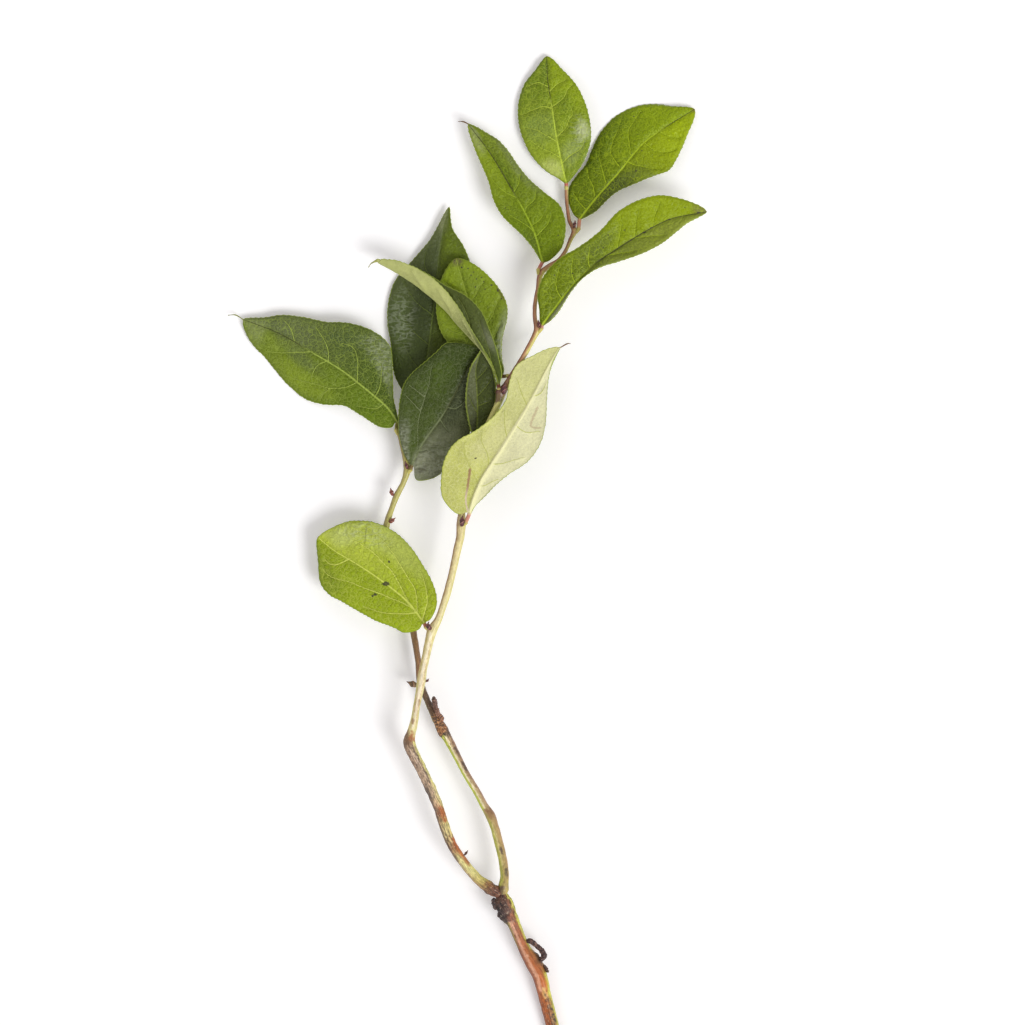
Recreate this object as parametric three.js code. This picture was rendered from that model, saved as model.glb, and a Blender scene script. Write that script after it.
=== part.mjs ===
// Salal sprig (Gaultheria shallon): a cut woody stem that forks into two leafy branches,
// lying on the plane z = 0. Millimetres, +Z up, the cut end towards -Y.
// The origin is the bottom centre of the sprig's bounding box.
import * as THREE from 'three';

// Driving dimensions
const JOINT_GAP = 0.3; // air kept between a twig and what grows on it
const BLADE_THICKNESS = 0.5;
const MARGIN_THINNING = 0.55; // share of the thickness that is lost towards the margin
const MIDRIB_DEPTH = 0.9; // how far the midrib stands out below the blade at its base
const MIDRIB_TAPER = 0.8; // share of that depth that is lost towards the tip
const PETIOLE_RADIUS = 0.85;
const PETIOLE_TAPER = 0.6; // share of that radius that is lost towards the tip
const SPINE_RADIUS = 0.3; // of the thin spine past a leaf's tip
const CUP_POWER = 1.35; // 1 is a straight fold, more bends the blade up near the margin
const FOLD_START = 0.1; // share of the blade in which a folded half turns up
const FOLD_END = 0.9; // from here it opens again towards the tip
const FOLD_FADE = 0.26; // share of the blade in which it would lie flat again
const FOLD_ROOM = 0.08; // half the thickness that fits in the fold, as a share of the half width
const NECK = 0.02; // share of the blade in which the round petiole becomes flat
const LOBE_POWER = 10; // how soon a lobed base stops reaching back
const LOBE_ROUNDNESS = 1.5; // more keeps the lobe's reach to the margin
const BASE_POWER = 0.42; // rounded leaf base
const TIP_POWER = 0.65; // pointed leaf tip
const CAP_SHARE = 0.6; // length of a twig's rounded end as a share of its radius

// Mesh fineness
const TWIG_SIDES = 8;
const BUD_SIDES = 6;
const BLADE_RINGS = 13;
const PETIOLE_RINGS = 2;
const PETIOLE_START = 0.35; // place of the first petiole ring between the foot and the second
const SLOPE_STEP = 0.05; // distance in rails over which a blade's slope is taken

// Where half widths are given along a blade, from its base at 0 to its tip at 1
const STATIONS = [0.04, 0.12, 0.26, 0.44, 0.62, 0.8, 0.93];

// Rails across a blade: 1 is the right margin, 0 the midrib, -1 the left margin
const RAILS = [1, 0.74, 0.42, 0.1, 0, -0.1, -0.42, -0.74, -1];
const LEAF_SIDES = 2 * (RAILS.length - 1);

const UP = new THREE.Vector3(0, 0, 1);

// Twigs, as a centreline with radii: [x, y, z, radius]
const MAIN_STEM = [
  [-0.2, 0, 3, 2.9],
  [-2.4, 8, 3.4, 2.9],
  [-5.5, 20, 4.5, 3],
  [-8.3, 30, 5.7, 3.3],
  [-10.9, 34.5, 6.3, 3.2],
  [-14.2, 40.5, 7.1, 2.8],
  [-18.3, 50, 8.4, 2.75],
  [-21.4, 58, 9.7, 2.9],
  [-23.4, 62.4, 10.5, 3.2],
  [-24.4, 65.2, 11, 2.5],
];

const RIGHT_BRANCH = [
  [-24.2, 68.5, 11.6, 2],
  [-23.6, 74, 12, 2],
  [-24.2, 80, 12, 1.95],
  [-26.4, 90, 11.8, 2],
  [-28.2, 96.5, 11.6, 2],
  [-30.1, 101.5, 11.4, 2.2],
  [-32.8, 105.8, 11.2, 1.8],
  [-35.4, 110.8, 10.8, 1.7],
  [-40.9, 120, 10, 1.65],
  [-46.1, 130, 9, 1.85],
  [-49.3, 136, 8.5, 2.1],
  [-51.4, 139.6, 8.2, 2.5],
  [-53.6, 143.5, 7.9, 2.1],
  [-56.3, 148.5, 7.4, 1.6],
  [-59.2, 155, 6.8, 1.4],
  [-61.4, 161, 6.4, 1.55],
  [-62.4, 170, 6.4, 1.35],
  [-63.9, 180, 6.6, 1.45],
  [-65, 186, 6.8, 1.5],
  [-67.4, 195, 7, 1.35],
  [-71.2, 208, 7.2, 1.3],
  [-75.2, 220, 7.4, 1.3],
  [-77.2, 228, 7.7, 1.5],
  [-76, 234, 8, 1.45],
  [-74, 240, 8.3, 1.25],
  [-72.1, 245, 8.6, 1.4],
  [-69.2, 250.5, 9, 1.25],
  [-67.4, 256.5, 9.4, 1.6],
  [-68.6, 263, 9.4, 1.15],
  [-70, 269, 9.2, 1.1],
  [-70.4, 273.6, 9, 1.4],
  [-68.2, 278.4, 8.6, 1],
  [-65.8, 282.4, 8.3, 0.9],
];

const LEFT_BRANCH = [
  [-28.6, 67.8, 11.7, 1.8],
  [-31, 69.4, 12, 2.3],
  [-34.5, 71.9, 12.2, 2.3],
  [-37.6, 75, 12.4, 2.2],
  [-41.7, 80, 12.7, 2.15],
  [-45.4, 85.2, 12.9, 2.15],
  [-48.3, 90.5, 13, 2.2],
  [-50.4, 96, 13.1, 2.25],
  [-53.3, 105, 13.3, 2.25],
  [-57.5, 115.2, 13.5, 2.4],
  [-62.4, 125, 13.8, 2.45],
  [-65.1, 130.4, 14, 2.6],
  [-66.4, 134.6, 14.1, 2.7],
  [-65.5, 138.4, 14.3, 2.1],
  [-64.5, 142, 14.5, 1.85],
  [-63.1, 150, 15, 1.6],
  [-61.7, 157.5, 15.4, 1.75],
  [-61, 161.5, 15.7, 2],
  [-60.3, 166, 16, 1.85],
  [-58.6, 174, 16.7, 1.85],
  [-57.3, 180, 17.2, 2],
  [-56, 184.6, 17.5, 2.3],
  [-53.4, 189.2, 17.8, 1.7],
  [-51.3, 195, 18.2, 1.6],
  [-49.4, 201, 18.5, 1.7],
  [-47.1, 210, 19, 1.65],
  [-44.9, 220, 19.6, 1.8],
  [-43.4, 227, 20, 1.9],
  [-43, 232.6, 20.2, 2.1],
  [-42.7, 238, 20.2, 1.5],
  [-41.4, 246, 20.2, 1.45],
  [-38.6, 257, 20.1, 1.45],
  [-35.2, 267, 19.8, 1.6],
  [-31.6, 275.5, 19.2, 1.4],
  [-28.6, 281.5, 18.8, 1.5],
  [-26.2, 286.8, 18.4, 1.6],
  [-24.2, 291.8, 18, 1.7],
  [-20.8, 298, 17.5, 1.3],
  [-15.3, 307, 16.8, 1.2],
  [-12.5, 312, 16.4, 1.2],
  [-10.2, 316.4, 16.1, 1.3],
  [-8.9, 319.6, 15.9, 1.6],
  [-9.9, 324, 15.2, 1],
  [-10, 330, 14.3, 0.95],
  [-8.6, 338, 12.8, 0.95],
  [-7, 345, 11.4, 1.3],
  [-3.2, 348.4, 10.6, 1],
  [0.6, 350.6, 9.9, 0.95],
  [3.4, 354.2, 9, 0.9],
  [5.9, 359.6, 7.7, 0.95],
  [7.7, 364.4, 6.6, 1.25],
  [5.8, 367.8, 5.9, 0.85],
  [4.8, 373, 5.3, 0.8],
  [4.3, 378.4, 4.8, 0.8],
  [4.2, 382.2, 4.6, 0.9],
];

// Leaves. stem and at say which point of which twig carries the leaf, midrib runs from the
// blade's base to its tip, and tail goes on past the tip as a thin spine.
// left and right are half widths at STATIONS, and rise is each margin's height over the
// midrib as a share of the half width. fold turns the left half up over the midrib, in degrees.
const LEAVES = [
  {
    name: 'leaf_low_left',
    stem: LEFT_BRANCH,
    at: 21,
    midrib: [
      [-59.6, 187.8, 17.8],
      [-66.8, 197, 16.8],
      [-77, 205.5, 15],
      [-90, 214.3, 13],
      [-100, 220.2, 11.2],
      [-107.6, 226.3, 9.6],
    ],
    left: [9.1, 12.2, 15.6, 17.2, 17.9, 16.1, 5.6],
    right: [7.9, 12.4, 16.4, 20.5, 21.2, 17.5, 11.3],
    lobes: [2, 1],
    rise: [-0.12, 0.04],
    colour: 0x93a832,
  },
  {
    name: 'leaf_pale_underside',
    stem: LEFT_BRANCH,
    at: 28,
    midrib: [
      [-39.2, 237.2, 24.2],
      [-34.3, 250.2, 25.4],
      [-27.2, 262, 25.4],
      [-20, 274, 24.4],
      [-10.2, 290, 22],
      [-1.4, 306.6, 19.4],
      [1.5, 311.4, 18.6],
    ],
    tail: [
      [4.4, 313, 18.2],
      [6.5, 313.2, 18],
    ],
    left: [12.4, 17.2, 19.8, 12.4, 10.1, 13.7, 6.8],
    right: [1.4, 4.5, 8, 13.9, 10.7, 2.9, 0.4],
    lobes: [4, 0],
    rise: [-0.1, -0.05],
    colour: 0xd0d08e,
  },
  {
    name: 'leaf_dark_front',
    stem: RIGHT_BRANCH,
    at: 27,
    midrib: [
      [-65.2, 258.8, 11.8],
      [-59.3, 270, 12.8],
      [-53, 278.5, 13.2],
      [-47, 288.5, 13.2],
      [-41.2, 300, 12.8],
      [-34.2, 310.7, 12.2],
    ],
    left: [5.1, 10, 17, 21.9, 21.3, 16.4, 12.1],
    right: [10.3, 14.5, 16.2, 14.6, 10.6, 6.9, 3],
    lobes: [0, 7],
    rise: [0.02, 0.04],
    colour: 0x4c5524,
  },
  {
    name: 'leaf_curled',
    stem: LEFT_BRANCH,
    at: 36,
    midrib: [
      [-26.4, 295, 19.6],
      [-29, 303, 18],
      [-34, 311, 16],
      [-41, 319, 14.4],
      [-50, 329, 13],
      [-60.4, 338, 12],
      [-70.5, 344.6, 11.6],
      [-80.8, 350, 11.4],
    ],
    tail: [
      [-83.2, 349.4, 11.4],
      [-84.9, 347.3, 11.2],
    ],
    left: [2.6, 5, 8, 10.5, 12, 8, 2.4],
    right: [2.8, 4.2, 8.1, 11.5, 7.6, 6, 3.4],
    fold: 108,
    rise: [-0.1, 0.3],
    colour: 0x7f8b3c,
  },
  {
    name: 'leaf_small_dark',
    stem: LEFT_BRANCH,
    at: 32,
    midrib: [
      [-36.4, 269, 16.8],
      [-35.9, 276, 16.8],
      [-35.7, 284, 16.6],
      [-36, 293, 16.2],
      [-36.4, 302, 15.6],
      [-33.9, 310.7, 14.8],
    ],
    left: [1.4, 3, 4.6, 5.5, 4.6, 2.6, 0.9],
    right: [1.6, 4.1, 6.8, 8.5, 8.8, 7.4, 4],
    rise: [0.05, -0.05],
    colour: 0x46522a,
  },
  {
    name: 'leaf_oval',
    stem: LEFT_BRANCH,
    at: 37,
    midrib: [
      [-24.6, 298.4, 14.4],
      [-28.6, 306.5, 12.4],
      [-36, 322, 10],
      [-40.6, 335, 9],
      [-43.4, 344.4, 8.6],
      [-45.4, 351.6, 8.4],
    ],
    left: [1.8, 5.1, 10, 15.6, 15.8, 11.8, 6.3],
    right: [2.1, 3.4, 7.4, 14.7, 15.5, 11.8, 6.5],
    rise: [-0.12, 0.06],
    colour: 0x74842a,
  },
  {
    name: 'leaf_far_left',
    stem: RIGHT_BRANCH,
    at: 30,
    midrib: [
      [-71.8, 278, 9.7],
      [-76.2, 284.4, 9],
      [-85, 292, 8.2],
      [-97, 301.4, 6.8],
      [-110.7, 309.6, 5.2],
      [-124.7, 317.8, 3.8],
      [-141.4, 324.3, 2.6],
    ],
    tail: [
      [-144.6, 326.2, 2.6],
      [-148.2, 326.1, 2.4],
    ],
    left: [7.1, 10.1, 11.3, 19.2, 18.1, 12.9, 7.8],
    right: [2.1, 6.4, 20.8, 21.7, 14.7, 9, 2.9],
    lobes: [2.5, 0],
    rise: [-0.24, 0.1],
    colour: 0x63743a,
  },
  {
    name: 'leaf_right',
    stem: LEFT_BRANCH,
    at: 41,
    midrib: [
      [-6.8, 321.4, 17.2],
      [-2.5, 327, 18],
      [6, 338, 17.6],
      [16.7, 348.8, 16.6],
      [27, 355.7, 15.8],
      [39.4, 363.4, 15],
      [50.7, 369, 14.2],
      [67.3, 372.4, 13.2],
    ],
    left: [4.4, 10.9, 13, 9.9, 13.9, 12.1, 5.6],
    right: [1.9, 2.4, 1, 3.8, 8.2, 7.2, 2.5],
    rise: [0.1, 0.5],
    colour: 0x85962a,
  },
  {
    name: 'leaf_tall_behind',
    stem: RIGHT_BRANCH,
    at: 32,
    midrib: [
      [-64, 286.4, 7.8],
      [-59.5, 302, 6.4],
      [-56.5, 321, 5],
      [-54.5, 340, 4],
      [-51.4, 363, 3.4],
      [-48.5, 375, 3.2],
    ],
    left: [6.8, 13, 16.7, 20.5, 17.8, 6.3, 2],
    right: [3.7, 8.4, 14.7, 18.6, 17.5, 11.3, 2.3],
    rise: [-0.14, 0.02],
    colour: 0x5f6c34,
  },
  {
    name: 'leaf_upper_left',
    stem: LEFT_BRANCH,
    at: 45,
    midrib: [
      [-6.6, 349.8, 11.4],
      [-10, 362.6, 10.2],
      [-14.9, 373, 9.2],
      [-21.4, 384.4, 8.4],
      [-29.5, 398, 7.8],
      [-40, 412, 7.4],
    ],
    tail: [
      [-42.2, 413, 7.4],
      [-44.5, 413.1, 7.2],
    ],
    left: [1.4, 3.4, 7.4, 10.2, 7.4, 5.4, 2.7],
    right: [8.6, 12.7, 15.6, 10.4, 7.8, 6.6, 2.9],
    rise: [0.3, 0.05],
    colour: 0x6d7f2e,
  },
  {
    name: 'leaf_upper_right',
    stem: LEFT_BRANCH,
    at: 50,
    midrib: [
      [10.1, 369.3, 6.2],
      [18.3, 379.6, 5.4],
      [28, 390.5, 4.6],
      [38.4, 403, 3.8],
      [47.7, 410, 3.2],
      [62, 418.8, 2.4],
    ],
    left: [8.6, 12.7, 13.3, 17.1, 17.4, 12, 4.4],
    right: [2.1, 4.1, 4.8, 10.8, 16.8, 12, 5.5],
    rise: [-0.2, 0.1],
    colour: 0x7f9420,
  },
  {
    name: 'leaf_top',
    stem: LEFT_BRANCH,
    at: 54,
    midrib: [
      [4.1, 385.6, 5],
      [1.8, 396, 6],
      [-0.4, 407, 6.2],
      [-2.3, 420, 5.2],
      [-4.2, 431.5, 3.8],
      [-4.6, 442.7, 2.4],
    ],
    left: [2.9, 7.9, 12.7, 15.5, 15.5, 10.9, 3.6],
    right: [4.2, 9.3, 14.4, 16, 14.6, 10.7, 5],
    rise: [-0.16, 0.08],
    colour: 0x7c9030,
  },
];

// Buds, thorns, stubs and knots: short spindles, [x, y, z, radius] from root to tip
const PURPLE = 0x5a2a34;
const BARK = 0x4a3836;
const SPINDLES = [
  {
    name: 'bud_low_leaf',
    path: [
      [-57.6, 186, 20.6, 0.8],
      [-57.9, 187.2, 21.1, 0.7],
      [-57.5, 188.4, 21.3, 0.25],
    ],
    colour: PURPLE,
  },
  {
    name: 'bud_pale_leaf',
    path: [
      [-42.7, 232.2, 23.3, 0.8],
      [-42.6, 234, 23.5, 0.9],
      [-42.4, 235.8, 23.6, 0.4],
    ],
    colour: PURPLE,
  },
  {
    name: 'bud_curled_leaf',
    path: [
      [-23.9, 291.2, 20.6, 0.7],
      [-23.8, 293, 20.8, 0.9],
      [-23.5, 295, 20.8, 0.35],
    ],
    colour: PURPLE,
  },
  {
    name: 'bud_right_leaf',
    path: [
      [-8.1, 321.2, 18.2, 0.5],
      [-8.3, 322.4, 18.5, 0.6],
      [-8.4, 323.6, 18.4, 0.25],
    ],
    colour: PURPLE,
  },
  {
    name: 'bud_upper_right_leaf',
    path: [
      [7.8, 366.2, 8.4, 0.5],
      [8, 367.4, 8.6, 0.6],
      [8.1, 368.5, 8.6, 0.25],
    ],
    colour: PURPLE,
  },
  {
    name: 'bud_dark_leaf',
    path: [
      [-67.3, 257.6, 11.9, 0.5],
      [-67.8, 259, 12.2, 0.6],
      [-68.2, 260.4, 12.2, 0.25],
    ],
    colour: PURPLE,
  },
  {
    name: 'bud_left_side',
    path: [
      [-74, 245.6, 8.9, 0.55],
      [-74.4, 246.6, 9.1, 0.8],
      [-74.8, 248.3, 9.2, 0.25],
    ],
    colour: 0x8a4a48,
  },
  {
    name: 'bud_right_side',
    path: [
      [-74.4, 233.4, 9.9, 0.6],
      [-73.8, 234, 10.1, 0.75],
      [-72.7, 234.9, 10.2, 0.25],
    ],
    colour: 0x8a4a48,
  },
  {
    name: 'bud_crossing',
    path: [
      [-58.4, 161.8, 16, 0.35],
      [-58, 162.2, 16.2, 0.5],
      [-57.6, 162.7, 16.3, 0.25],
    ],
    colour: PURPLE,
  },
  {
    name: 'scale_bud',
    path: [
      [-63.5, 159.9, 6.6, 0.9],
      [-64.9, 160.3, 6.8, 1.2],
      [-67.4, 161.3, 7, 0.4],
    ],
    colour: 0x74604a,
  },
  {
    name: 'dead_twig_stub',
    path: [
      [-51.7, 144.7, 10.2, 0.9],
      [-53.5, 146.9, 10.4, 1.15],
      [-54.6, 150.2, 10.4, 1.1],
      [-55.2, 153.4, 10.5, 1.15],
      [-55.4, 154.3, 10.5, 0.8],
    ],
    colour: BARK,
  },
  {
    name: 'hooked_stub',
    path: [
      [-7.2, 36.4, 7.8, 1.1],
      [-5.9, 38.1, 8.1, 1.35],
      [-6.9, 40.6, 8.3, 1.2],
      [-9.4, 42.9, 8.6, 1],
      [-12, 44.9, 8.9, 1.15],
    ],
    colour: BARK,
  },
  {
    name: 'spur_stub',
    path: [
      [-5.5, 33.4, 6.7, 0.7],
      [-4.9, 32.2, 6.8, 0.9],
      [-4.1, 30.9, 6.9, 0.6],
    ],
    colour: BARK,
  },
  {
    name: 'thorn_stub',
    path: [
      [-41.6, 83.8, 13.6, 0.4],
      [-41, 84.4, 13.8, 0.55],
      [-40.1, 85.6, 14, 0.2],
    ],
    colour: BARK,
  },
  {
    name: 'fork_knot',
    path: [
      [-27.5, 60.2, 10.6, 1.1],
      [-28.1, 61.9, 10.9, 1.4],
      [-28.5, 63.7, 11.1, 1],
    ],
    colour: 0x3c3338,
  },
];

const point = ([x, y, z]) => new THREE.Vector3(x, y, z);

// A closed skin: `rings` loops of `sides` points between two end points.
// place(ring, side) gives each point, with side 0 at the right, then top, left and bottom.
function skin(sides, rings, first, last, place) {
  const geometry = new THREE.SphereGeometry(1, sides, rings + 1);
  const position = geometry.attributes.position;
  for (let row = 0; row <= rings + 1; row += 1) {
    for (let column = 0; column <= sides; column += 1) {
      let spot = first;
      if (row === rings + 1) {
        spot = last;
      } else if (row > 0) {
        spot = place(row - 1, column % sides);
      }
      position.setXYZ(row * (sides + 1) + column, spot.x, spot.y, spot.z);
    }
  }
  geometry.computeVertexNormals();
  return geometry;
}

// The direction that points right when looking along `forward` from above
function rightOf(forward) {
  return new THREE.Vector3().crossVectors(forward, UP).normalize();
}

// A twig with one ring at each point of its centreline. Its start is cut flat or rounded off.
function twig(path, sides, flatStart) {
  const centres = path.map(point);
  const radii = path.map((entry) => entry[3]);
  const end = centres.length - 1;
  const forwards = centres.map((centre, index) => {
    const before = centres[Math.max(index - 1, 0)];
    const after = centres[Math.min(index + 1, end)];
    return new THREE.Vector3().subVectors(after, before).normalize();
  });
  const startCap = flatStart ? 0 : -CAP_SHARE * radii[0];
  const first = centres[0].clone().addScaledVector(forwards[0], startCap);
  const last = centres[end].clone().addScaledVector(forwards[end], CAP_SHARE * radii[end]);
  return skin(sides, centres.length, first, last, (ring, side) => {
    const angle = (2 * Math.PI * side) / sides;
    const right = rightOf(forwards[ring]);
    const above = new THREE.Vector3().crossVectors(right, forwards[ring]);
    return centres[ring].clone()
      .addScaledVector(right, radii[ring] * Math.cos(angle))
      .addScaledVector(above, radii[ring] * Math.sin(angle));
  });
}

// Rounded at the base and pointed at the tip, for the blade's share s of its length
function ovate(s) {
  return s ** BASE_POWER * (1 - s) ** TIP_POWER;
}

// Half width of a blade at s, from the half widths at STATIONS
function halfWidth(widths, s) {
  const fullness = widths.map((width, index) => (
    new THREE.Vector2(STATIONS[index], width / ovate(STATIONS[index]))
  ));
  if (s <= STATIONS[0]) {
    return fullness[0].y * ovate(s);
  }
  const beyond = STATIONS.findIndex((station) => station >= s);
  if (beyond < 0) {
    return fullness[STATIONS.length - 1].y * ovate(s);
  }
  const from = STATIONS[beyond - 1];
  const share = (s - from) / (STATIONS[beyond] - from);
  const curve = new THREE.SplineCurve(fullness);
  return curve.getPoint((beyond - 1 + share) / (STATIONS.length - 1)).y * ovate(s);
}

// Where a petiole leaves its twig: on the twig's surface, on the side that faces the blade
function petioleFoot(stem, at, bladeBase) {
  const node = point(stem[at]);
  const radius = stem[at][3];
  const toBlade = bladeBase.clone().sub(node);
  const clearance = radius + JOINT_GAP + PETIOLE_RADIUS / 2;
  if (at === stem.length - 1) {
    return node.addScaledVector(toBlade.normalize(), clearance);
  }
  const along = point(stem[at + 1]).sub(point(stem[at - 1])).normalize();
  toBlade.addScaledVector(along, -toBlade.dot(along)).normalize();
  return node.addScaledVector(toBlade, clearance);
}

// How far the left half is turned up at s, in radians, for a leaf folded by `degrees`
function foldAngle(degrees, s) {
  const turningUp = THREE.MathUtils.smoothstep(s, 0, FOLD_START);
  const opening = THREE.MathUtils.smoothstep(s, FOLD_END, FOLD_END + FOLD_FADE);
  return THREE.MathUtils.degToRad(degrees) * turningUp * (1 - opening);
}

// One point of a blade's middle surface, as [right, up] from the midrib
function bladeSection({ widths, rise, angle }, rail) {
  const side = rail > 0 ? 1 : 0;
  const reach = Math.abs(rail);
  const across = (side ? 1 : -1) * widths[side] * reach;
  const section = new THREE.Vector2(across, widths[side] * rise[side] * reach ** CUP_POWER);
  return side ? section : section.rotateAround(new THREE.Vector2(), -angle);
}

// The outside of a blade at one rail: the middle surface moved out along its normal
function bladeSkinPoint(shape, rail, isTop, s) {
  const middle = bladeSection(shape, rail);
  if (Math.abs(rail) === 1) {
    return middle;
  }
  const ahead = bladeSection(shape, rail + SLOPE_STEP).sub(middle).normalize();
  const behind = bladeSection(shape, rail - SLOPE_STEP).sub(middle).normalize();
  const slope = ahead.sub(behind).divideScalar(2); // shorter than 1 in a crease
  const normal = new THREE.Vector2(-slope.y, slope.x);
  const room = shape.angle > 0 ? FOLD_ROOM * Math.min(...shape.widths) : Infinity;
  const half = Math.min(BLADE_THICKNESS / 2, room) * (1 - MARGIN_THINNING * Math.abs(rail));
  const rib = rail === 0 ? MIDRIB_DEPTH * (1 - MIDRIB_TAPER * s) : 0;
  return middle.addScaledVector(normal, isTop ? half : -half - rib);
}

// The rings of a leaf from its foot to its tip: their centres, and the share s of the blade
function leafRings(foot, blade, tail) {
  const bladeCurve = new THREE.CatmullRomCurve3(blade);
  const rings = [];
  for (let index = 0; index < PETIOLE_RINGS; index += 1) {
    const share = (index + PETIOLE_START) / PETIOLE_RINGS;
    rings.push({ centre: foot.clone().lerp(blade[0], share), s: 0 });
  }
  for (let index = 1; index <= BLADE_RINGS; index += 1) {
    const s = (1 - Math.cos((Math.PI * index) / (BLADE_RINGS + 1))) / 2;
    rings.push({ centre: bladeCurve.getPointAt(s), s });
  }
  const spine = [blade[blade.length - 1], ...tail];
  spine.slice(0, -1).forEach((centre) => rings.push({ centre, s: 1 }));
  return rings;
}

// A leaf: a round petiole that widens into a thin blade, then an optional spine
function leaf({ stem, at, midrib, tail = [], left, right, rise, lobes = [0, 0], fold = 0 }) {
  const blade = midrib.map(point);
  const foot = petioleFoot(stem, at, blade[0]);
  const rings = leafRings(foot, blade, tail.map(point));
  const tip = point(tail.length > 0 ? tail[tail.length - 1] : midrib[midrib.length - 1]);
  const path = [foot, ...rings.map((ring) => ring.centre), tip];

  return skin(LEAF_SIDES, rings.length, foot, tip, (ring, side) => {
    const { centre, s } = rings[ring];
    const forward = path[ring + 2].clone().sub(path[ring]).normalize();
    const across = rightOf(forward);
    const above = new THREE.Vector3().crossVectors(across, forward);
    const angle = (2 * Math.PI * side) / LEAF_SIDES;
    const radius = s < 1 ? PETIOLE_RADIUS * (1 - PETIOLE_TAPER * s) : SPINE_RADIUS;
    const section = new THREE.Vector2(radius * Math.cos(angle), radius * Math.sin(angle));
    let sweep = 0;
    if (s > 0 && s < 1) {
      const isTop = side < RAILS.length;
      const rail = isTop ? RAILS[side] : RAILS[LEAF_SIDES - side];
      const widths = [halfWidth(left, s), halfWidth(right, s)];
      const shape = { widths, rise, angle: foldAngle(fold, s) };
      const flat = bladeSkinPoint(shape, rail, isTop, s);
      section.lerp(flat, THREE.MathUtils.smoothstep(s, 0, NECK));
      const lobe = lobes[rail > 0 ? 1 : 0] * (1 - s) ** LOBE_POWER;
      sweep = lobe * Math.abs(rail) ** LOBE_ROUNDNESS;
    }
    return centre.clone()
      .addScaledVector(across, section.x)
      .addScaledVector(above, section.y)
      .addScaledVector(forward, -sweep);
  });
}

const sprig = new THREE.Group();

function add(name, geometry, colour, roughness) {
  const material = new THREE.MeshStandardMaterial({ color: colour, roughness, metalness: 0 });
  const mesh = new THREE.Mesh(geometry, material);
  mesh.name = name;
  sprig.add(mesh);
}

add('main_stem', twig(MAIN_STEM, TWIG_SIDES, true), 0xa9643f, 0.55);
add('right_branch', twig(RIGHT_BRANCH, TWIG_SIDES, false), 0x9a8a4a, 0.55);
add('left_branch', twig(LEFT_BRANCH, TWIG_SIDES, false), 0xe0d090, 0.5);
LEAVES.forEach((entry) => add(entry.name, leaf(entry), entry.colour, 0.45));
SPINDLES.forEach((entry) => {
  add(entry.name, twig(entry.path, BUD_SIDES, false), entry.colour, 0.7);
});

// The sprig rests on z = 0, centred on the origin
const bounds = new THREE.Box3().setFromObject(sprig);
const centre = bounds.getCenter(new THREE.Vector3());
sprig.position.set(-centre.x, -centre.y, -bounds.min.z);

const group = new THREE.Group();
group.add(sprig);

export default group;
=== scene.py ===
"""A salal sprig (Gaultheria shallon) on a white table: twigs with bark, leaves with veins, buds."""

import math

import bmesh
import bpy
import numpy as np
from bpy.props import FloatProperty, FloatVectorProperty, IntProperty, PointerProperty
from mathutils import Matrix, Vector, kdtree, noise


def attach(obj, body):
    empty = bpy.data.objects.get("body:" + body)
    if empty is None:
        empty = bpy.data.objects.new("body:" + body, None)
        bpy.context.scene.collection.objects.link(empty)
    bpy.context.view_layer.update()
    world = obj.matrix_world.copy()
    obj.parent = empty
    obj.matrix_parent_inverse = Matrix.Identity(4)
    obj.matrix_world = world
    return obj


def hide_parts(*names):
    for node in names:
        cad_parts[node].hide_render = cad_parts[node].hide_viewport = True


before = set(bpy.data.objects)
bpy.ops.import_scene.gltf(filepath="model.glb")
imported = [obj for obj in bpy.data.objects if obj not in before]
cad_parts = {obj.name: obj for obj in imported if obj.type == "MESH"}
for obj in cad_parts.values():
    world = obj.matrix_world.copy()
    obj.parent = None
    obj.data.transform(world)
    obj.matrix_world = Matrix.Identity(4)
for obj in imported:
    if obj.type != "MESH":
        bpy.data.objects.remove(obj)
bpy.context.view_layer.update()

bl_info = {
    "name": "Salal Sprig",
    "version": (1, 0, 0),
    "blender": (4, 5, 0),
    "location": "3D View > Sidebar > Salal",
    "description": "Dresses the salal sprig: twigs, leaves, buds, stubs and the table under it",
    "category": "Object",
}

MM = 0.001
MERGE = 2e-6  # vertices of a CAD skin closer than this are one
WELD = 1e-7  # the same for the skins made here

# Sides of the CAD skins, which have two end points and rings of that many points between them
LEAF_SIDES = 16
TWIG_SIDES = 8
BUD_SIDES = 6

# Rails across a blade, from its left margin at -1 over the midrib at 0 to its right margin
RAILS = np.array([-1, -0.74, -0.42, -0.1, 0, 0.1, 0.42, 0.74, 1])
UPPER_SIDES = [8, 7, 6, 5, 4, 3, 2, 1, 0]
LOWER_SIDES = [8, 9, 10, 11, 12, 13, 14, 15, 0]
MIDDLE_RAIL = 4
PETIOLE_RINGS = 2
PETIOLE_REACH = 0.675  # place of the second ring between a petiole's foot and its blade
BLADE_STEPS = 14  # intervals between the blade's rings from its base to its tip


def linear(red, green, blue):
    """A colour given as it looks on a screen, 0 to 255, in the units that shaders use."""
    shares = np.array([red, green, blue]) / 255
    low = shares / 12.92
    high = ((shares + 0.055) / 1.055) ** 2.4
    return (*np.where(shares <= 0.04045, low, high).tolist(), 1.0)


def smoothstep(low, high, value):
    """0 below `low`, 1 above `high`, and smooth between them. `high` may be the smaller one."""
    share = np.clip((np.asarray(value, float) - low) / (high - low), 0, 1)
    return share * share * (3 - 2 * share)


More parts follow.
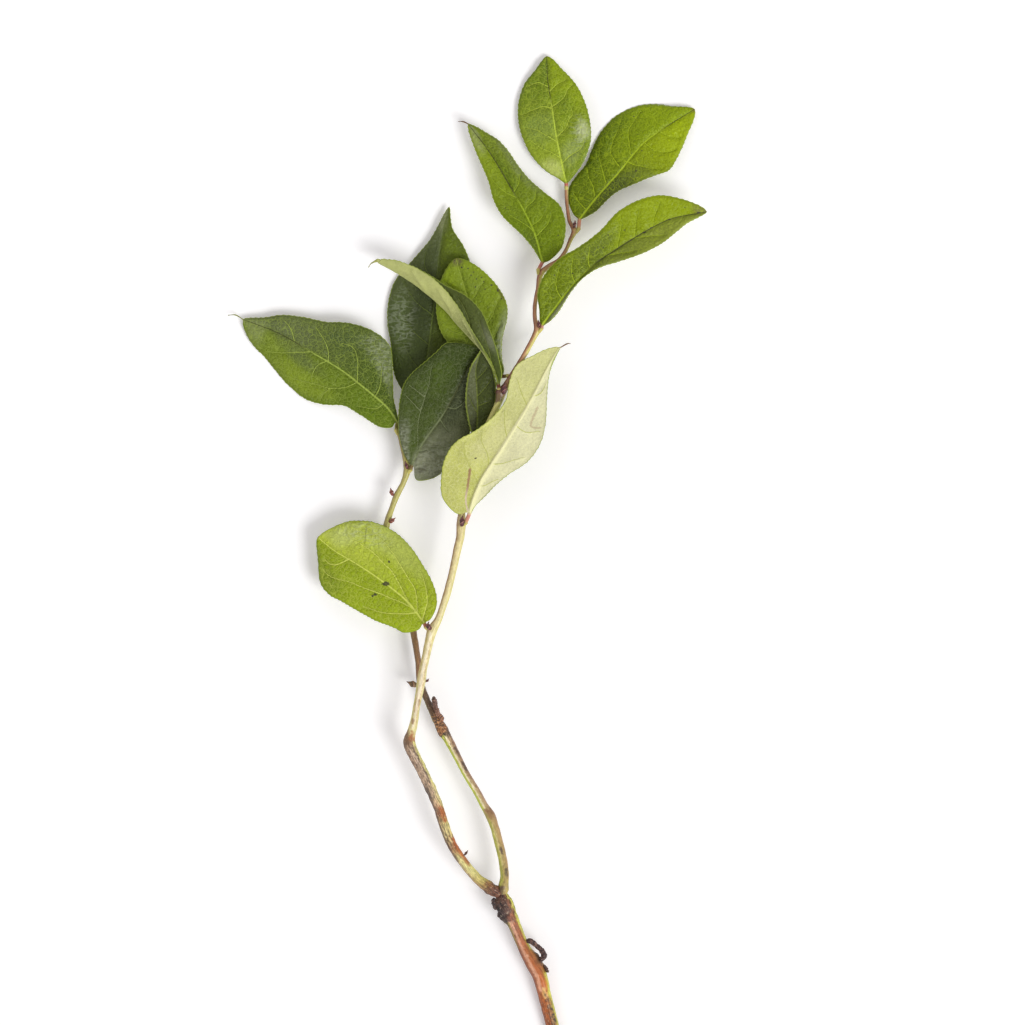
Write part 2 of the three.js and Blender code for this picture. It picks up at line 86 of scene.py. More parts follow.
def spline(knots, values, places):
    """A smooth curve through `values`, which stand at rising `knots`, read at `places`."""
    knots = np.asarray(knots, float)
    values = np.asarray(values, float)
    slopes = np.gradient(values, knots, axis=0)
    start = np.clip(np.searchsorted(knots, places, side="right") - 1, 0, len(knots) - 2)
    shape = (-1,) + (1,) * (values.ndim - 1)
    width = (knots[start + 1] - knots[start]).reshape(shape)
    share = (places - knots[start]).reshape(shape) / width
    from_start = (1 + 2 * share) * (1 - share) ** 2 * values[start]
    from_end = share**2 * (3 - 2 * share) * values[start + 1]
    leaving = share * (1 - share) ** 2 * width * slopes[start]
    arriving = share**2 * (share - 1) * width * slopes[start + 1]
    return from_start + from_end + leaving + arriving


def unit(vectors):
    """The same vectors with length 1; a zero vector stays zero."""
    length = np.linalg.norm(vectors, axis=-1, keepdims=True)
    return vectors / np.maximum(length, 1e-12)


def tone(colour):
    """A colour given as it looks on a screen, as an array of three shares."""
    return np.array(linear(*colour)[:3])


def tinted(colours, colour, mask):
    """Colours with another one over them, as strong as the mask says."""
    return colours + mask[..., None] * (tone(colour) - colours)


def stacked(*parts):
    """Arrays of matching shapes, side by side in a new last axis."""
    return np.stack(np.broadcast_arrays(*parts), axis=-1)


def run_along(points):
    """The distance of each point of a line from its start, or of each row of points."""
    steps = np.linalg.norm(np.diff(points, axis=0), axis=-1)
    return np.concatenate([np.zeros_like(steps[:1]), np.cumsum(steps, axis=0)])


def rough(points, scale, seed, octaves=3):
    """Noise about 0, from -1 to 1, at each point. `scale` is the size of its lumps."""
    flat = np.asarray(points, float).reshape(-1, 3) / scale
    shift = Vector((seed * 7.1, seed * 3.7, seed * 5.3))
    values = [noise.fractal(Vector(spot) + shift, 1.0, 2.0, octaves) for spot in flat]
    return np.array(values).reshape(np.shape(points)[:-1])


# ---------------------------------------------------------------- reading the CAD skins


def layers_from(start):
    """The vertices round `start` in layers of equal distance."""
    seen = {start}
    layer = [start]
    layers = []
    while layer:
        layers.append(layer)
        ahead = []
        for vert in layer:
            for edge in vert.link_edges:
                other = edge.other_vert(vert)
                if other not in seen:
                    seen.add(other)
                    ahead.append(other)
        layer = ahead
    return layers


def spread(layer):
    """The shortest distance from a ring's centre to its vertices."""
    centre = sum((vert.co for vert in layer), Vector()) / len(layer)
    return min((vert.co - centre).length for vert in layer)


def first_ring(layers, sides):
    """The ring nearest the foot, in order: right, top, left, bottom."""
    centres = [sum((vert.co for vert in layer), Vector()) / sides for layer in layers[1:3]]
    forward = (centres[1] - centres[0]).normalized()
    right = forward.cross(Vector((0, 0, 1))).normalized()
    above = right.cross(forward)
    ring = [None] * sides
    for vert in layers[1]:
        offset = vert.co - centres[0]
        angle = math.atan2(offset.dot(above), offset.dot(right))
        ring[round(angle * sides / (2 * math.pi)) % sides] = vert
    return ring


def read_skin(node, sides):
    """The rings of a CAD skin from its foot to its tip, with the two end points."""
    mesh = bmesh.new()
    mesh.from_mesh(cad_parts[node].data)
    bmesh.ops.remove_doubles(mesh, verts=mesh.verts, dist=MERGE)
    found = []
    for vert in mesh.verts:
        if len(vert.link_edges) != sides:
            continue
        layers = layers_from(vert)
        if len(layers[-1]) == 1 and all(len(layer) == sides for layer in layers[1:-1]):
            found.append(layers)
    if len(found) < 2:
        raise RuntimeError(f"{node} is not a skin of {sides} sides")
    layers = max(found, key=lambda each: spread(each[1]))
    ring = first_ring(layers, sides)
    rings = [ring]
    for layer in layers[2:-1]:
        members = set(layer)
        ahead = []
        for side in range(sides):
            near = {edge.other_vert(ring[side]) for edge in ring[side].link_edges}
            before = {edge.other_vert(ring[side - 1]) for edge in ring[side - 1].link_edges}
            shared = near & before & members
            if len(shared) != 1:
                raise RuntimeError(f"{node} has an unexpected ring")
            ahead.append(shared.pop())
        rings.append(ahead)
        ring = ahead
    points = np.array([[vert.co[:] for vert in ring] for ring in rings])
    foot = np.array(layers[0][0].co[:])
    tip = np.array(layers[-1][0].co[:])
    mesh.free()
    return points, foot, tip


def centre_line(rings):
    """The centres of a skin's rings, and their mean radii."""
    centres = rings.mean(axis=1)
    return centres, np.linalg.norm(rings - centres[:, None], axis=-1).mean(axis=1)


def twig_axes():
    """Closely spaced points of the centre lines of all twigs."""
    lines = []
    for node in TWIGS:
        centres = read_skin(node, TWIG_SIDES)[0].mean(axis=1)
        knots = np.arange(len(centres))
        lines.append(spline(knots, centres, np.linspace(0, knots[-1], 12 * len(knots))))
    return np.concatenate(lines)


def root_of(foot, axes, depth):
    """Where a root that starts at `foot` ends: a share of the way to the nearest axis."""
    nearest = axes[np.argmin(np.linalg.norm(axes - foot, axis=-1))]
    return foot + depth * (nearest - foot)


# ---------------------------------------------------------------- making pieces


def make_skin(points, uv, layers, lower_from=None):
    """A closed skin over a grid of points[row, column], with a map and colour layers.

    Its first and last columns meet, and so do all the points of its first and of its last
    row. Faces from column `lower_from` on have the second material.
    """
    rows = points.shape[0] - 1
    columns = points.shape[1] - 1
    mesh = bmesh.new()
    skin_map = mesh.loops.layers.uv.new("skin")
    bmesh.ops.create_grid(mesh, x_segments=columns, y_segments=rows, size=1.0)
    paints = {name: mesh.verts.layers.float_color.new(name) for name in layers}
    places = [divmod(index, columns + 1) for index in range(len(mesh.verts))]
    for vert, place in zip(mesh.verts, places):
        vert.co = points[place]
        for name, paint in paints.items():
            vert[paint] = layers[name][place]
    for index, face in enumerate(mesh.faces):
        face.smooth = True
        if lower_from is not None and index % columns >= lower_from:
            face.material_index = 1
        for loop in face.loops:
            loop[skin_map].uv = uv[places[loop.vert.index]]
    bmesh.ops.remove_doubles(mesh, verts=mesh.verts, dist=WELD)
    bmesh.ops.dissolve_degenerate(mesh, edges=mesh.edges, dist=WELD)
    bmesh.ops.recalc_face_normals(mesh, faces=mesh.faces)
    return mesh


def add_piece(name, mesh, materials, nodes):
    """A finished piece that stands for CAD nodes and hides them; it hangs from the root body."""
    data = bpy.data.meshes.new(name)
    mesh.to_mesh(data)
    mesh.free()
    for material in materials:
        data.materials.append(material)
    piece = bpy.data.objects.new(name, data)
    bpy.context.scene.collection.objects.link(piece)
    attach(piece, "root")
    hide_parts(*nodes)
    return piece


def with_alpha(colours):
    """Colours with a fourth channel, which is 1."""
    return np.concatenate([colours, np.ones((*colours.shape[:-1], 1))], axis=-1)


# ---------------------------------------------------------------- wiring materials


class Wiring:
    """Adds nodes to one node tree and joins them."""

    def __init__(self, tree):
        self.tree = tree

    def feed(self, socket, value):
        """Gives an input a link or a plain value."""
        if isinstance(value, bpy.types.NodeSocket):
            self.tree.links.new(value, socket)
        else:
            socket.default_value = value

    def fill(self, node, inputs):
        """Gives a node's inputs, by name or number, a link or a plain value each."""
        for name, value in inputs.items():
            self.feed(node.inputs[name], value)

    def add(self, kind, inputs=None, **settings):
        """A new node with its settings and its inputs."""
        node = self.tree.nodes.new(kind)
        for name, value in settings.items():
            setattr(node, name, value)
        self.fill(node, inputs or {})
        return node

    def math(self, operation, *values, clamp=False):
        """One sum."""
        inputs = dict(enumerate(values))
        node = self.add("ShaderNodeMath", inputs, operation=operation, use_clamp=clamp)
        return node.outputs[0]

    def vector(self, operation, inputs):
        """One sum of vectors."""
        return self.add("ShaderNodeVectorMath", inputs, operation=operation).outputs[0]

    def ramp(self, value, low, high, start=0.0, end=1.0):
        """`start` where value is below `low`, `end` above `high`, smooth between."""
        inputs = {"Value": value, "From Min": low, "From Max": high, "To Min": start, "To Max": end}
        node = self.add("ShaderNodeMapRange", inputs, interpolation_type="SMOOTHSTEP")
        return node.outputs["Result"]

    def fade(self, value, low, high):
        """1 where value is below `low`, 0 above `high`, smooth between."""
        return self.ramp(value, low, high, 1.0, 0.0)

    def mix(self, share, first, second, blend="MIX"):
        """A mix of two colours. A colour of three numbers is one as it looks on a screen."""
        inputs = {0: share, 6: first, 7: second}
        for number, value in inputs.items():
            if isinstance(value, tuple) and len(value) == 3:
                inputs[number] = linear(*value)
        node = self.add("ShaderNodeMix", inputs, data_type="RGBA", blend_type=blend)
        return node.outputs[2]

    def shaded(self, colour, shade):
        """A colour times a shade."""
        return self.mix(1.0, colour, shade, "MULTIPLY")

    def over(self, colour, paint, mask, strength):
        """A colour with a paint over it, where the mask is and as strong as said."""
        return self.mix(self.math("MULTIPLY", mask, strength), colour, paint)

    def noise(self, vector, scale, detail=3.0, roughness=0.5):
        """Noise from 0 to 1, in lumps a metre."""
        inputs = {"Vector": vector, "Scale": scale, "Detail": detail, "Roughness": roughness}
        return self.add("ShaderNodeTexNoise", inputs).outputs[0]

    def clouded(self, colour, vector, scale, detail, depth, spread):
        """A colour that noise makes lighter and darker by `depth`."""
        clouds = self.noise(vector, scale, detail, 0.6)
        shade = self.ramp(clouds, 0.5 - spread, 0.5 + spread, 1.0 - depth, 1.0 + depth)
        return self.shaded(colour, shade)

    def stretched(self, vector, scale):
        """A vector scaled along its axes."""
        inputs = {"Vector": vector, "Scale": scale}
        return self.add("ShaderNodeMapping", inputs).outputs[0]

    def place(self):
        """The place on the sprig, in metres."""
        return self.add("ShaderNodeTexCoord").outputs["Object"]

    def skin_map(self):
        """The places round or across a piece (X) and along it (Y)."""
        skin = self.add("ShaderNodeUVMap", uv_map="skin").outputs[0]
        return self.add("ShaderNodeSeparateXYZ", {0: skin}).outputs

    def layer(self, name):
        """A colour layer of the piece, with its fourth channel as Alpha."""
        return self.add("ShaderNodeAttribute", attribute_name=name).outputs


def new_group(name, inputs, outputs):
    """An empty shader node group. Inputs are (name, socket type, default)."""
    group = bpy.data.node_groups.new(name, "ShaderNodeTree")
    for label, kind, default in inputs:
        socket = group.interface.new_socket(label, in_out="INPUT", socket_type=kind)
        if default is not None:
            socket.default_value = default
    for label, kind in outputs:
        group.interface.new_socket(label, in_out="OUTPUT", socket_type=kind)
    wiring = Wiring(group)
    start = wiring.add("NodeGroupInput")
    end = wiring.add("NodeGroupOutput")
    return group, wiring, start.outputs, end.inputs


FLOAT = "NodeSocketFloat"
COLOUR = "NodeSocketColor"


def new_material(name):
    """A new material with a plain Principled shader, its wiring and that shader."""
    material = bpy.data.materials.new(name)
    material.use_nodes = True
    material.node_tree.nodes.clear()
    wiring = Wiring(material.node_tree)
    shader = wiring.add("ShaderNodeBsdfPrincipled")
    output = wiring.add("ShaderNodeOutputMaterial")
    wiring.feed(output.inputs["Surface"], shader.outputs[0])
    return material, wiring, shader


def bump(wiring, height, strength, distance):
    """A normal for a height given in shares of `distance`."""
    inputs = {"Height": height, "Strength": strength, "Distance": distance}
    return wiring.add("ShaderNodeBump", inputs).outputs[0]


# ---------------------------------------------------------------- leaves

# How each leaf looks. Places on a blade are (across, along): across from -1 at its left
# margin over 0 at the midrib to 1 at its right margin, along from 0 at its base to 1 at its
# tip. Colours are as they look on a screen, 0 to 255.
#   left, right: the colours of its halves, near the base and near the tip, with some painted sheen
#       and painted shade in them
#   veins: the side veins, each a line of places from the midrib outwards
#   scars: healed scars, each a line of places
#   tints_and_painted_light: soft patches of the leaf's own tints, of painted sheen and of painted
#       shade (across, along, reach across, reach along, colour, strength)
#   spots: dark specks (across, along, half length, half width in mm)
#   wrinkles: wrinkled patches, with pale streaks of painted sheen over them (across, along, reach
#       across, reach along)
#   net: how clearly the net between the side veins shows
#   vein, vein_width: the veins' colour, and their half width in mm
#   rim: the width of the green margin, as a share of the usual one
#   groove: where along the blade the midrib turns dark, partly its own colour and partly painted
#       shade in its groove
#   petiole, tail: the colours of the petiole and of the drawn-out tip
#   curl: (along, how far the rolled left half reaches sideways in mm)
#   under, under_base: the colours of the underside, and of its part near the base
#   upside_down: the leaf lies on its upper side
LEAVES = {
    "leaf_low_left": {
        "left": [(150, 172, 4), (140, 162, 4)],
        "right": [(156, 176, 20), (180, 196, 60)],
        "veins": [
            [(0, 0.18), (0.27, 0.38), (0.33, 0.5), (0.4, 0.62), (0.45, 0.76)],
            [(0, 0.08), (0.38, 0.2), (0.48, 0.32), (0.56, 0.42), (0.68, 0.55), (0.82, 0.74)],
            [(0, 0.02), (0.5, 0.09), (0.7, 0.165), (0.86, 0.27)],
            [(0, 0.11), (-0.2, 0.275), (-0.33, 0.42), (-0.42, 0.53), (-0.5, 0.66), (-0.7, 0.83)],
            [(0, 0.09), (-0.38, 0.15), (-0.68, 0.27), (-0.82, 0.43)],
            [(0, 0.72), (-0.3, 0.78), (-0.5, 0.86)],
        ],
        "tints_and_painted_light": [
            # Painted sheen on the right half
            (0.8, 0.5, 0.4, 0.35, (184, 194, 116), 0.4),
            (0.5, 0.85, 0.4, 0.15, (196, 206, 130), 0.5),
            # Painted shade along the left margin near the tip
            (-0.8, 0.8, 0.4, 0.2, (104, 124, 20), 0.55),
        ],
        "spots": [(0.0, 0.4, 1.7, 0.9), (-0.38, 0.42, 1.1, 0.6), (-0.47, 0.43, 0.5, 0.5),
                  (0.42, 0.47, 0.7, 0.6)],
        "wrinkles": [(0.75, 0.75, 0.4, 0.25)],
        "net": 0.38,
        "vein_width": 0.44,
        "vein": (216, 226, 104),
        "petiole": (186, 120, 96),
    },
    "leaf_pale_underside": {
        "left": [(200, 205, 106), (212, 214, 142)],
        "right": [(221, 220, 174), (219, 218, 174)],
        "veins": [
            [(0, 0.24), (-0.2, 0.31), (-0.6, 0.36), (-0.85, 0.41)],
            [(0, 0.15), (-0.3, 0.2), (-0.64, 0.255), (-0.82, 0.3)],
            [(0, 0.64), (-0.4, 0.68), (-0.75, 0.74)],
            [(0, 0.44), (-0.3, 0.48), (-0.78, 0.56)],
            [(0, 0.28), (0.4, 0.32), (0.8, 0.4)],
            [(0, 0.15), (0.4, 0.17), (0.8, 0.23)],
            [(0, 0.52), (0.4, 0.52), (0.8, 0.56)],
            [(0, 0.7), (0.4, 0.74), (0.7, 0.8)],
        ],
        "tints_and_painted_light": [
            (-0.7, 0.1, 0.5, 0.25, (186, 190, 96), 0.6),
            (-0.3, 0.4, 0.5, 0.2, (222, 220, 160), 0.5),
        ],
        "scars": [
            [(-0.36, 0.2), (-0.3, 0.155), (-0.27, 0.11), (-0.25, 0.06), (-0.2, 0.01)],
            [(0.45, 0.66), (0.42, 0.61), (0.45, 0.565), (0.62, 0.565), (0.82, 0.58)],
        ],
        "spots": [(-0.4, 0.27, 0.5, 0.5)],
        "net": 0.45,
        "vein": (192, 198, 100),
        "petiole": (206, 142, 122),
        "upside_down": True,
    },
    "leaf_dark_front": {
        "left": [(70, 86, 24), (52, 68, 4)],
        # The right half's greyish colour near the base is painted sheen
        "right": [(98, 104, 68), (46, 54, 16)],
        "veins": [
            [(0, 0.08), (-0.36, 0.26), (-0.45, 0.37), (-0.5, 0.49), (-0.58, 0.6), (-0.78, 0.72)],
            [(-0.45, 0.365), (-0.68, 0.385), (-0.87, 0.4)],
            [(-0.5, 0.48), (-0.7, 0.49), (-0.88, 0.5)],
            [(0, 0.4), (0.25, 0.37), (0.45, 0.36)],
            [(0, 0.11), (0.3, 0.18), (0.55, 0.25), (0.8, 0.33)],
            [(0, 0.5), (0.3, 0.53), (0.5, 0.6)],
        ],
        "tints_and_painted_light": [
            # Painted sheen: the grey patches round the base
            (0.45, 0.05, 0.8, 0.16, (144, 148, 120), 0.85),
            (0.5, 0.27, 0.55, 0.15, (136, 142, 108), 0.85),
            (-0.75, 0.12, 0.35, 0.14, (110, 116, 88), 0.8),
            (0.2, 0.6, 0.35, 0.3, (52, 60, 34), 0.75),
            (-0.5, 0.65, 0.35, 0.2, (72, 92, 14), 0.6),
            (0.55, 0.02, 0.2, 0.05, (60, 52, 40), 0.6),
        ],
        "wrinkles": [(0.5, 0.12, 0.7, 0.2), (-0.75, 0.12, 0.35, 0.16)],
        "net": 0.3,
        "vein": (128, 138, 96),
        "groove": 0.45,
        "petiole": (120, 100, 60),
    },
    "leaf_curled": {
        "left": [(93, 102, 44), (88, 98, 40)],
        "right": [(82, 94, 44), (78, 90, 32)],
        "veins": [
            [(0, 0.1), (0.4, 0.2), (0.7, 0.35)],
            [(0, 0.3), (0.4, 0.4), (0.7, 0.52)],
            [(0, 0.5), (0.4, 0.58), (0.7, 0.68)],
            [(0, 0.2), (-0.4, 0.3), (-0.7, 0.42)],
            [(0, 0.45), (-0.4, 0.52), (-0.7, 0.62)],
            [(0, 0.68), (-0.4, 0.74), (-0.7, 0.8)],
        ],
        "tints_and_painted_light": [
            # Painted sheen near the base
            (0.7, 0.2, 0.3, 0.14, (128, 134, 104), 0.8),
            (0.4, 0.1, 0.8, 0.13, (74, 90, 26), 0.85),
        ],
        "curl": [(0, 0.2), (0.1, 0.2), (0.2, 0.6), (0.3, 1.5), (0.4, 3.1), (0.5, 4.6),
                 (0.6, 5.9), (0.7, 6.4), (0.8, 5.9), (0.9, 4.6), (1.0, 1.6)],
        "under": (178, 184, 108),
        "under_base": (84, 94, 38),
        "net": 0.18,
        "vein": (122, 132, 62),
        "petiole": (96, 48, 38),
        "tail": (158, 160, 88),
    },
    "leaf_small_dark": {
        # The left half's greyish colours are painted sheen
        "left": [(82, 88, 58), (104, 110, 76)],
        "right": [(62, 72, 22), (66, 76, 36)],
        "veins": [
            [(0, 0.48), (0.22, 0.53), (0.42, 0.57), (0.8, 0.665)],
            [(0, 0.38), (0.4, 0.41), (0.7, 0.43)],
            [(0, 0.66), (0.4, 0.74), (0.7, 0.82)],
            [(0, 0.3), (-0.4, 0.4), (-0.75, 0.5)],
        ],
        "tints_and_painted_light": [],
        "net": 0.24,
        "vein": (104, 116, 44),
        "petiole": (96, 92, 48),
        "rim": 2.0,
    },
    "leaf_oval": {
        "left": [(94, 112, 16), (136, 158, 30)],
        "right": [(102, 119, 32), (132, 154, 22)],
        "veins": [
            [(0, 0.64), (0.25, 0.677), (0.44, 0.72), (0.7, 0.76)],
            [(0, 0.4), (0.3, 0.43), (0.52, 0.475), (0.65, 0.53), (0.88, 0.59)],
            [(0, 0.22), (0.4, 0.28), (0.75, 0.38)],
            [(0, 0.72), (-0.4, 0.78), (-0.7, 0.84)],
            [(0, 0.35), (-0.5, 0.42), (-0.8, 0.5)],
            [(0, 0.54), (-0.4, 0.6), (-0.78, 0.68)],
        ],
        "tints_and_painted_light": [
            # Painted sheen near the right margin
            (0.9, 0.3, 0.3, 0.2, (150, 158, 124), 0.7),
            # Painted shadow that leaf_curled casts near the base
            (-0.5, 0.25, 0.5, 0.2, (70, 86, 10), 0.75),
            (0.3, 0.8, 0.6, 0.18, (118, 138, 44), 0.5),
            (0.0, 1.0, 0.9, 0.075, (90, 76, 60), 0.9),
            (0.97, 0.62, 0.07, 0.1, (84, 66, 46), 0.6),
        ],
        "spots": [(0.85, 0.72, 0.6, 0.4), (0.93, 0.66, 0.4, 0.8), (0.5, 0.9, 0.5, 0.3),
                  (0.55, 0.8, 0.4, 0.4), (0.35, 0.74, 0.3, 0.5), (0.75, 0.8, 0.5, 0.3),
                  (0.6, 0.86, 0.5, 0.3), (0.7, 0.76, 0.3, 0.4), (0.42, 0.84, 0.4, 0.3),
                  (0.9, 0.58, 0.3, 0.5), (0.62, 0.7, 0.3, 0.4), (0.2, 0.92, 0.6, 0.4)],
        "wrinkles": [(0.75, 0.2, 0.35, 0.16)],
        "net": 0.42,
        "vein": (152, 170, 60),
        "petiole": (110, 84, 48),
    },
    "leaf_far_left": {
        "left": [(90, 114, 0), (108, 126, 28)],
        "right": [(68, 88, 14), (92, 104, 54)],
        "veins": [
            [(0, 0.3), (-0.33, 0.335), (-0.52, 0.4), (-0.6, 0.5), (-0.78, 0.61)],
            [(0, 0.6), (-0.25, 0.675), (-0.5, 0.74), (-0.72, 0.8)],
            [(0, 0.5), (-0.2, 0.53), (-0.45, 0.53), (-0.6, 0.51)],
            [(-0.52, 0.4), (-0.7, 0.42), (-0.85, 0.42)],
            [(0, 0.3), (0.2, 0.34), (0.42, 0.385), (0.52, 0.43), (0.5, 0.48)],
            [(0, 0.49), (0.22, 0.52), (0.48, 0.575), (0.75, 0.64)],
            [(0, 0.18), (0.4, 0.2), (0.7, 0.27)],
            [(0, 0.12), (-0.4, 0.14), (-0.75, 0.22)],
            [(0, 0.7), (0.4, 0.75), (0.7, 0.8)],
        ],
        "tints_and_painted_light": [
            # Painted sheen near the base on the right
            (0.8, 0.25, 0.35, 0.16, (128, 138, 96), 0.5),
            (0.3, 0.75, 0.6, 0.2, (94, 104, 66), 0.7),
            (-0.28, 0.62, 0.22, 0.14, (88, 100, 60), 0.6),
            # Painted sheen at the tip
            (-0.1, 0.93, 0.9, 0.09, (140, 150, 96), 0.6),
            (-0.68, 0.56, 0.34, 0.24, (134, 154, 30), 0.6),
            (0.6, 0.48, 0.3, 0.12, (70, 86, 44), 0.6),
        ],
        "wrinkles": [(0.75, 0.28, 0.3, 0.16)],
        "net": 0.4,
        "vein": (166, 186, 80),
        "groove": 0.6,
        "petiole": (120, 118, 54),
        "tail": (150, 156, 88),
    },
    "leaf_right": {
        "left": [(95, 113, 0), (143, 162, 0)],
        "right": [(96, 110, 40), (144, 157, 58)],
        "veins": [
            [(0, 0.16), (-0.25, 0.17), (-0.5, 0.2), (-0.75, 0.26)],
            [(0, 0.26), (-0.3, 0.28), (-0.7, 0.33)],
            [(0, 0.36), (-0.3, 0.38), (-0.7, 0.42)],
            [(0, 0.52), (-0.3, 0.56), (-0.6, 0.6), (-0.85, 0.62)],
            [(0, 0.62), (-0.35, 0.66), (-0.7, 0.7)],
            [(0, 0.72), (-0.35, 0.76), (-0.7, 0.8)],
            [(0, 0.45), (0.4, 0.52), (0.7, 0.58)],
            [(0, 0.62), (0.4, 0.7), (0.7, 0.76)],
        ],
        "tints_and_painted_light": [
            # Painted sheen along the right margin near the base
            (0.7, 0.14, 0.5, 0.13, (140, 147, 112), 0.8),
            (-0.2, 0.38, 0.5, 0.14, (84, 100, 24), 0.6),
            (-0.6, 0.45, 0.4, 0.15, (96, 110, 46), 0.6),
            (-0.3, 0.97, 0.8, 0.05, (110, 100, 60), 0.7),
            (-0.75, 0.15, 0.25, 0.1, (122, 140, 20), 0.5),
        ],
        "spots": [(0.02, 0.68, 0.9, 0.35), (-0.02, 0.72, 0.7, 0.3), (0.0, 0.81, 0.8, 0.3),
                  (-0.65, 0.52, 0.35, 0.35), (-0.4, 0.6, 0.3, 0.3), (-0.3, 0.28, 0.3, 0.4),
                  (-0.7, 0.22, 0.3, 0.3), (-0.1, 0.96, 0.9, 0.3), (-0.35, 0.47, 0.3, 0.3),
                  (0.0, 0.6, 0.5, 0.25), (-0.5, 0.9, 0.4, 0.25)],
        "net": 0.42,
        "vein": (174, 196, 44),
        "groove": 0.34,
        "petiole": (196, 138, 120),
    },
    "leaf_tall_behind": {
        "left": [(70, 84, 36), (92, 102, 60)],
        "right": [(62, 74, 14), (94, 110, 22)],
        "veins": [
            [(0, 0.3), (-0.4, 0.36), (-0.75, 0.46)],
            [(0, 0.45), (-0.4, 0.51), (-0.75, 0.6)],
            [(0, 0.15), (-0.4, 0.21), (-0.75, 0.31)],
            [(0, 0.35), (0.4, 0.42), (0.75, 0.52)],
            [(0, 0.6), (0.4, 0.67), (0.7, 0.75)],
            [(0, 0.62), (-0.4, 0.68), (-0.7, 0.76)],
        ],
        "tints_and_painted_light": [
            # Painted sheen on the left half
            (-0.75, 0.42, 0.35, 0.14, (90, 106, 58), 0.6),
            # Painted shadow beside the midrib
            (-0.2, 0.5, 0.4, 0.3, (44, 54, 24), 0.7),
            (-0.3, 0.93, 0.9, 0.08, (134, 140, 96), 0.6),
            (0.5, 0.75, 0.4, 0.12, (112, 132, 24), 0.5),
            (-0.4, 0.75, 0.5, 0.1, (66, 76, 40), 0.6),
        ],
        "wrinkles": [(-0.7, 0.4, 0.4, 0.18)],
        "net": 0.2,
        "vein": (92, 106, 44),
        "petiole": (96, 92, 44),
    },
    "leaf_upper_left": {
        "left": [(92, 114, 0), (132, 151, 24)],
        "right": [(108, 130, 0), (110, 126, 34)],
        "veins": [
            [(0, 0.165), (0.3, 0.195), (0.45, 0.21), (0.65, 0.25)],
            [(0, 0.335), (0.15, 0.36), (0.4, 0.37), (0.6, 0.385), (0.8, 0.42)],
            [(0, 0.24), (0.25, 0.25), (0.45, 0.27)],
            [(0, 0.48), (0.3, 0.5), (0.5, 0.52), (0.8, 0.56)],
            [(0, 0.2), (-0.4, 0.28), (-0.75, 0.38)],
            [(0, 0.44), (-0.4, 0.52), (-0.75, 0.62)],
        ],
        "tints_and_painted_light": [
            # Painted sheen along the right margin
            (0.9, 0.62, 0.35, 0.25, (118, 128, 82), 0.6),
            (0.2, 0.6, 0.3, 0.15, (82, 106, 6), 0.5),
            (-0.4, 0.13, 0.6, 0.1, (76, 88, 34), 0.6),
            # Painted sheen left of the midrib and at the tip
            (-0.4, 0.88, 0.6, 0.12, (158, 166, 112), 0.6),
            (0.1, 0.94, 0.4, 0.08, (168, 174, 134), 0.6),
        ],
        "spots": [(-0.7, 0.42, 0.35, 0.35), (0.75, 0.13, 0.4, 0.4)],
        "net": 0.42,
        "vein": (162, 186, 48),
        "groove": 0.42,
        "petiole": (196, 124, 112),
    },
    "leaf_upper_right": {
        "left": [(92, 112, 0), (131, 154, 0)],
        "right": [(80, 94, 10), (152, 172, 0)],
        "veins": [
            [(-0.06, 0.51), (-0.2, 0.545), (-0.48, 0.6), (-0.62, 0.66), (-0.8, 0.72)],
            [(-0.1, 0.41), (-0.27, 0.42), (-0.48, 0.44), (-0.6, 0.5), (-0.7, 0.57)],
            [(-0.1, 0.17), (-0.2, 0.19), (-0.4, 0.215), (-0.62, 0.23), (-0.82, 0.26)],
            [(-0.12, 0.28), (-0.4, 0.32), (-0.75, 0.38)],
            [(0, 0.07), (-0.4, 0.08), (-0.7, 0.1)],
            [(-0.05, 0.46), (0.3, 0.48), (0.68, 0.525), (0.87, 0.59)],
            [(0, 0.62), (0.35, 0.64), (0.6, 0.69), (0.8, 0.76)],
            [(0, 0.74), (0.4, 0.78), (0.7, 0.83)],
        ],
        "tints_and_painted_light": [
            # Painted shade where the right half tilts away
            (0.5, 0.3, 0.6, 0.2, (72, 84, 38), 0.8),
            (0.7, 0.46, 0.4, 0.08, (104, 118, 40), 0.6),
            (-0.8, 0.45, 0.3, 0.3, (70, 92, 4), 0.6),
            (0.5, 0.75, 0.4, 0.15, (160, 180, 6), 0.5),
            (0.0, 1.0, 0.9, 0.03, (120, 100, 60), 0.8),
        ],
        "spots": [(0.12, 0.57, 0.4, 0.3), (0.5, 0.45, 0.6, 0.4), (-0.75, 0.68, 0.4, 0.3)],
        "net": 0.45,
        "vein": (174, 196, 40),
        "groove": 0.74,
        "petiole": (206, 142, 120),
    },
    "leaf_top": {
        "left": [(142, 163, 36), (104, 126, 16)],
        "right": [(118, 140, 26), (134, 156, 0)],
        "veins": [
            [(0, 0.6), (0.37, 0.646), (0.66, 0.716), (0.9, 0.745)],
            [(0, 0.36), (0.29, 0.42), (0.44, 0.486), (0.54, 0.515), (0.57, 0.57)],
            [(0, 0.15), (0.35, 0.2), (0.7, 0.237), (0.79, 0.3)],
            [(0, 0.72), (0.35, 0.77), (0.7, 0.79)],
            [(0, 0.195), (-0.29, 0.255), (-0.55, 0.3), (-0.8, 0.37)],
            [(0, 0.32), (-0.2, 0.37), (-0.38, 0.405), (-0.52, 0.44), (-0.8, 0.467)],
            [(0, 0.585), (-0.23, 0.61), (-0.47, 0.605), (-0.88, 0.58)],
            [(0, 0.76), (-0.4, 0.8), (-0.85, 0.78)],
        ],
        "tints_and_painted_light": [
            # Painted highlight and sheen on the right half
            (0.78, 0.38, 0.25, 0.1, (196, 206, 152), 0.75),
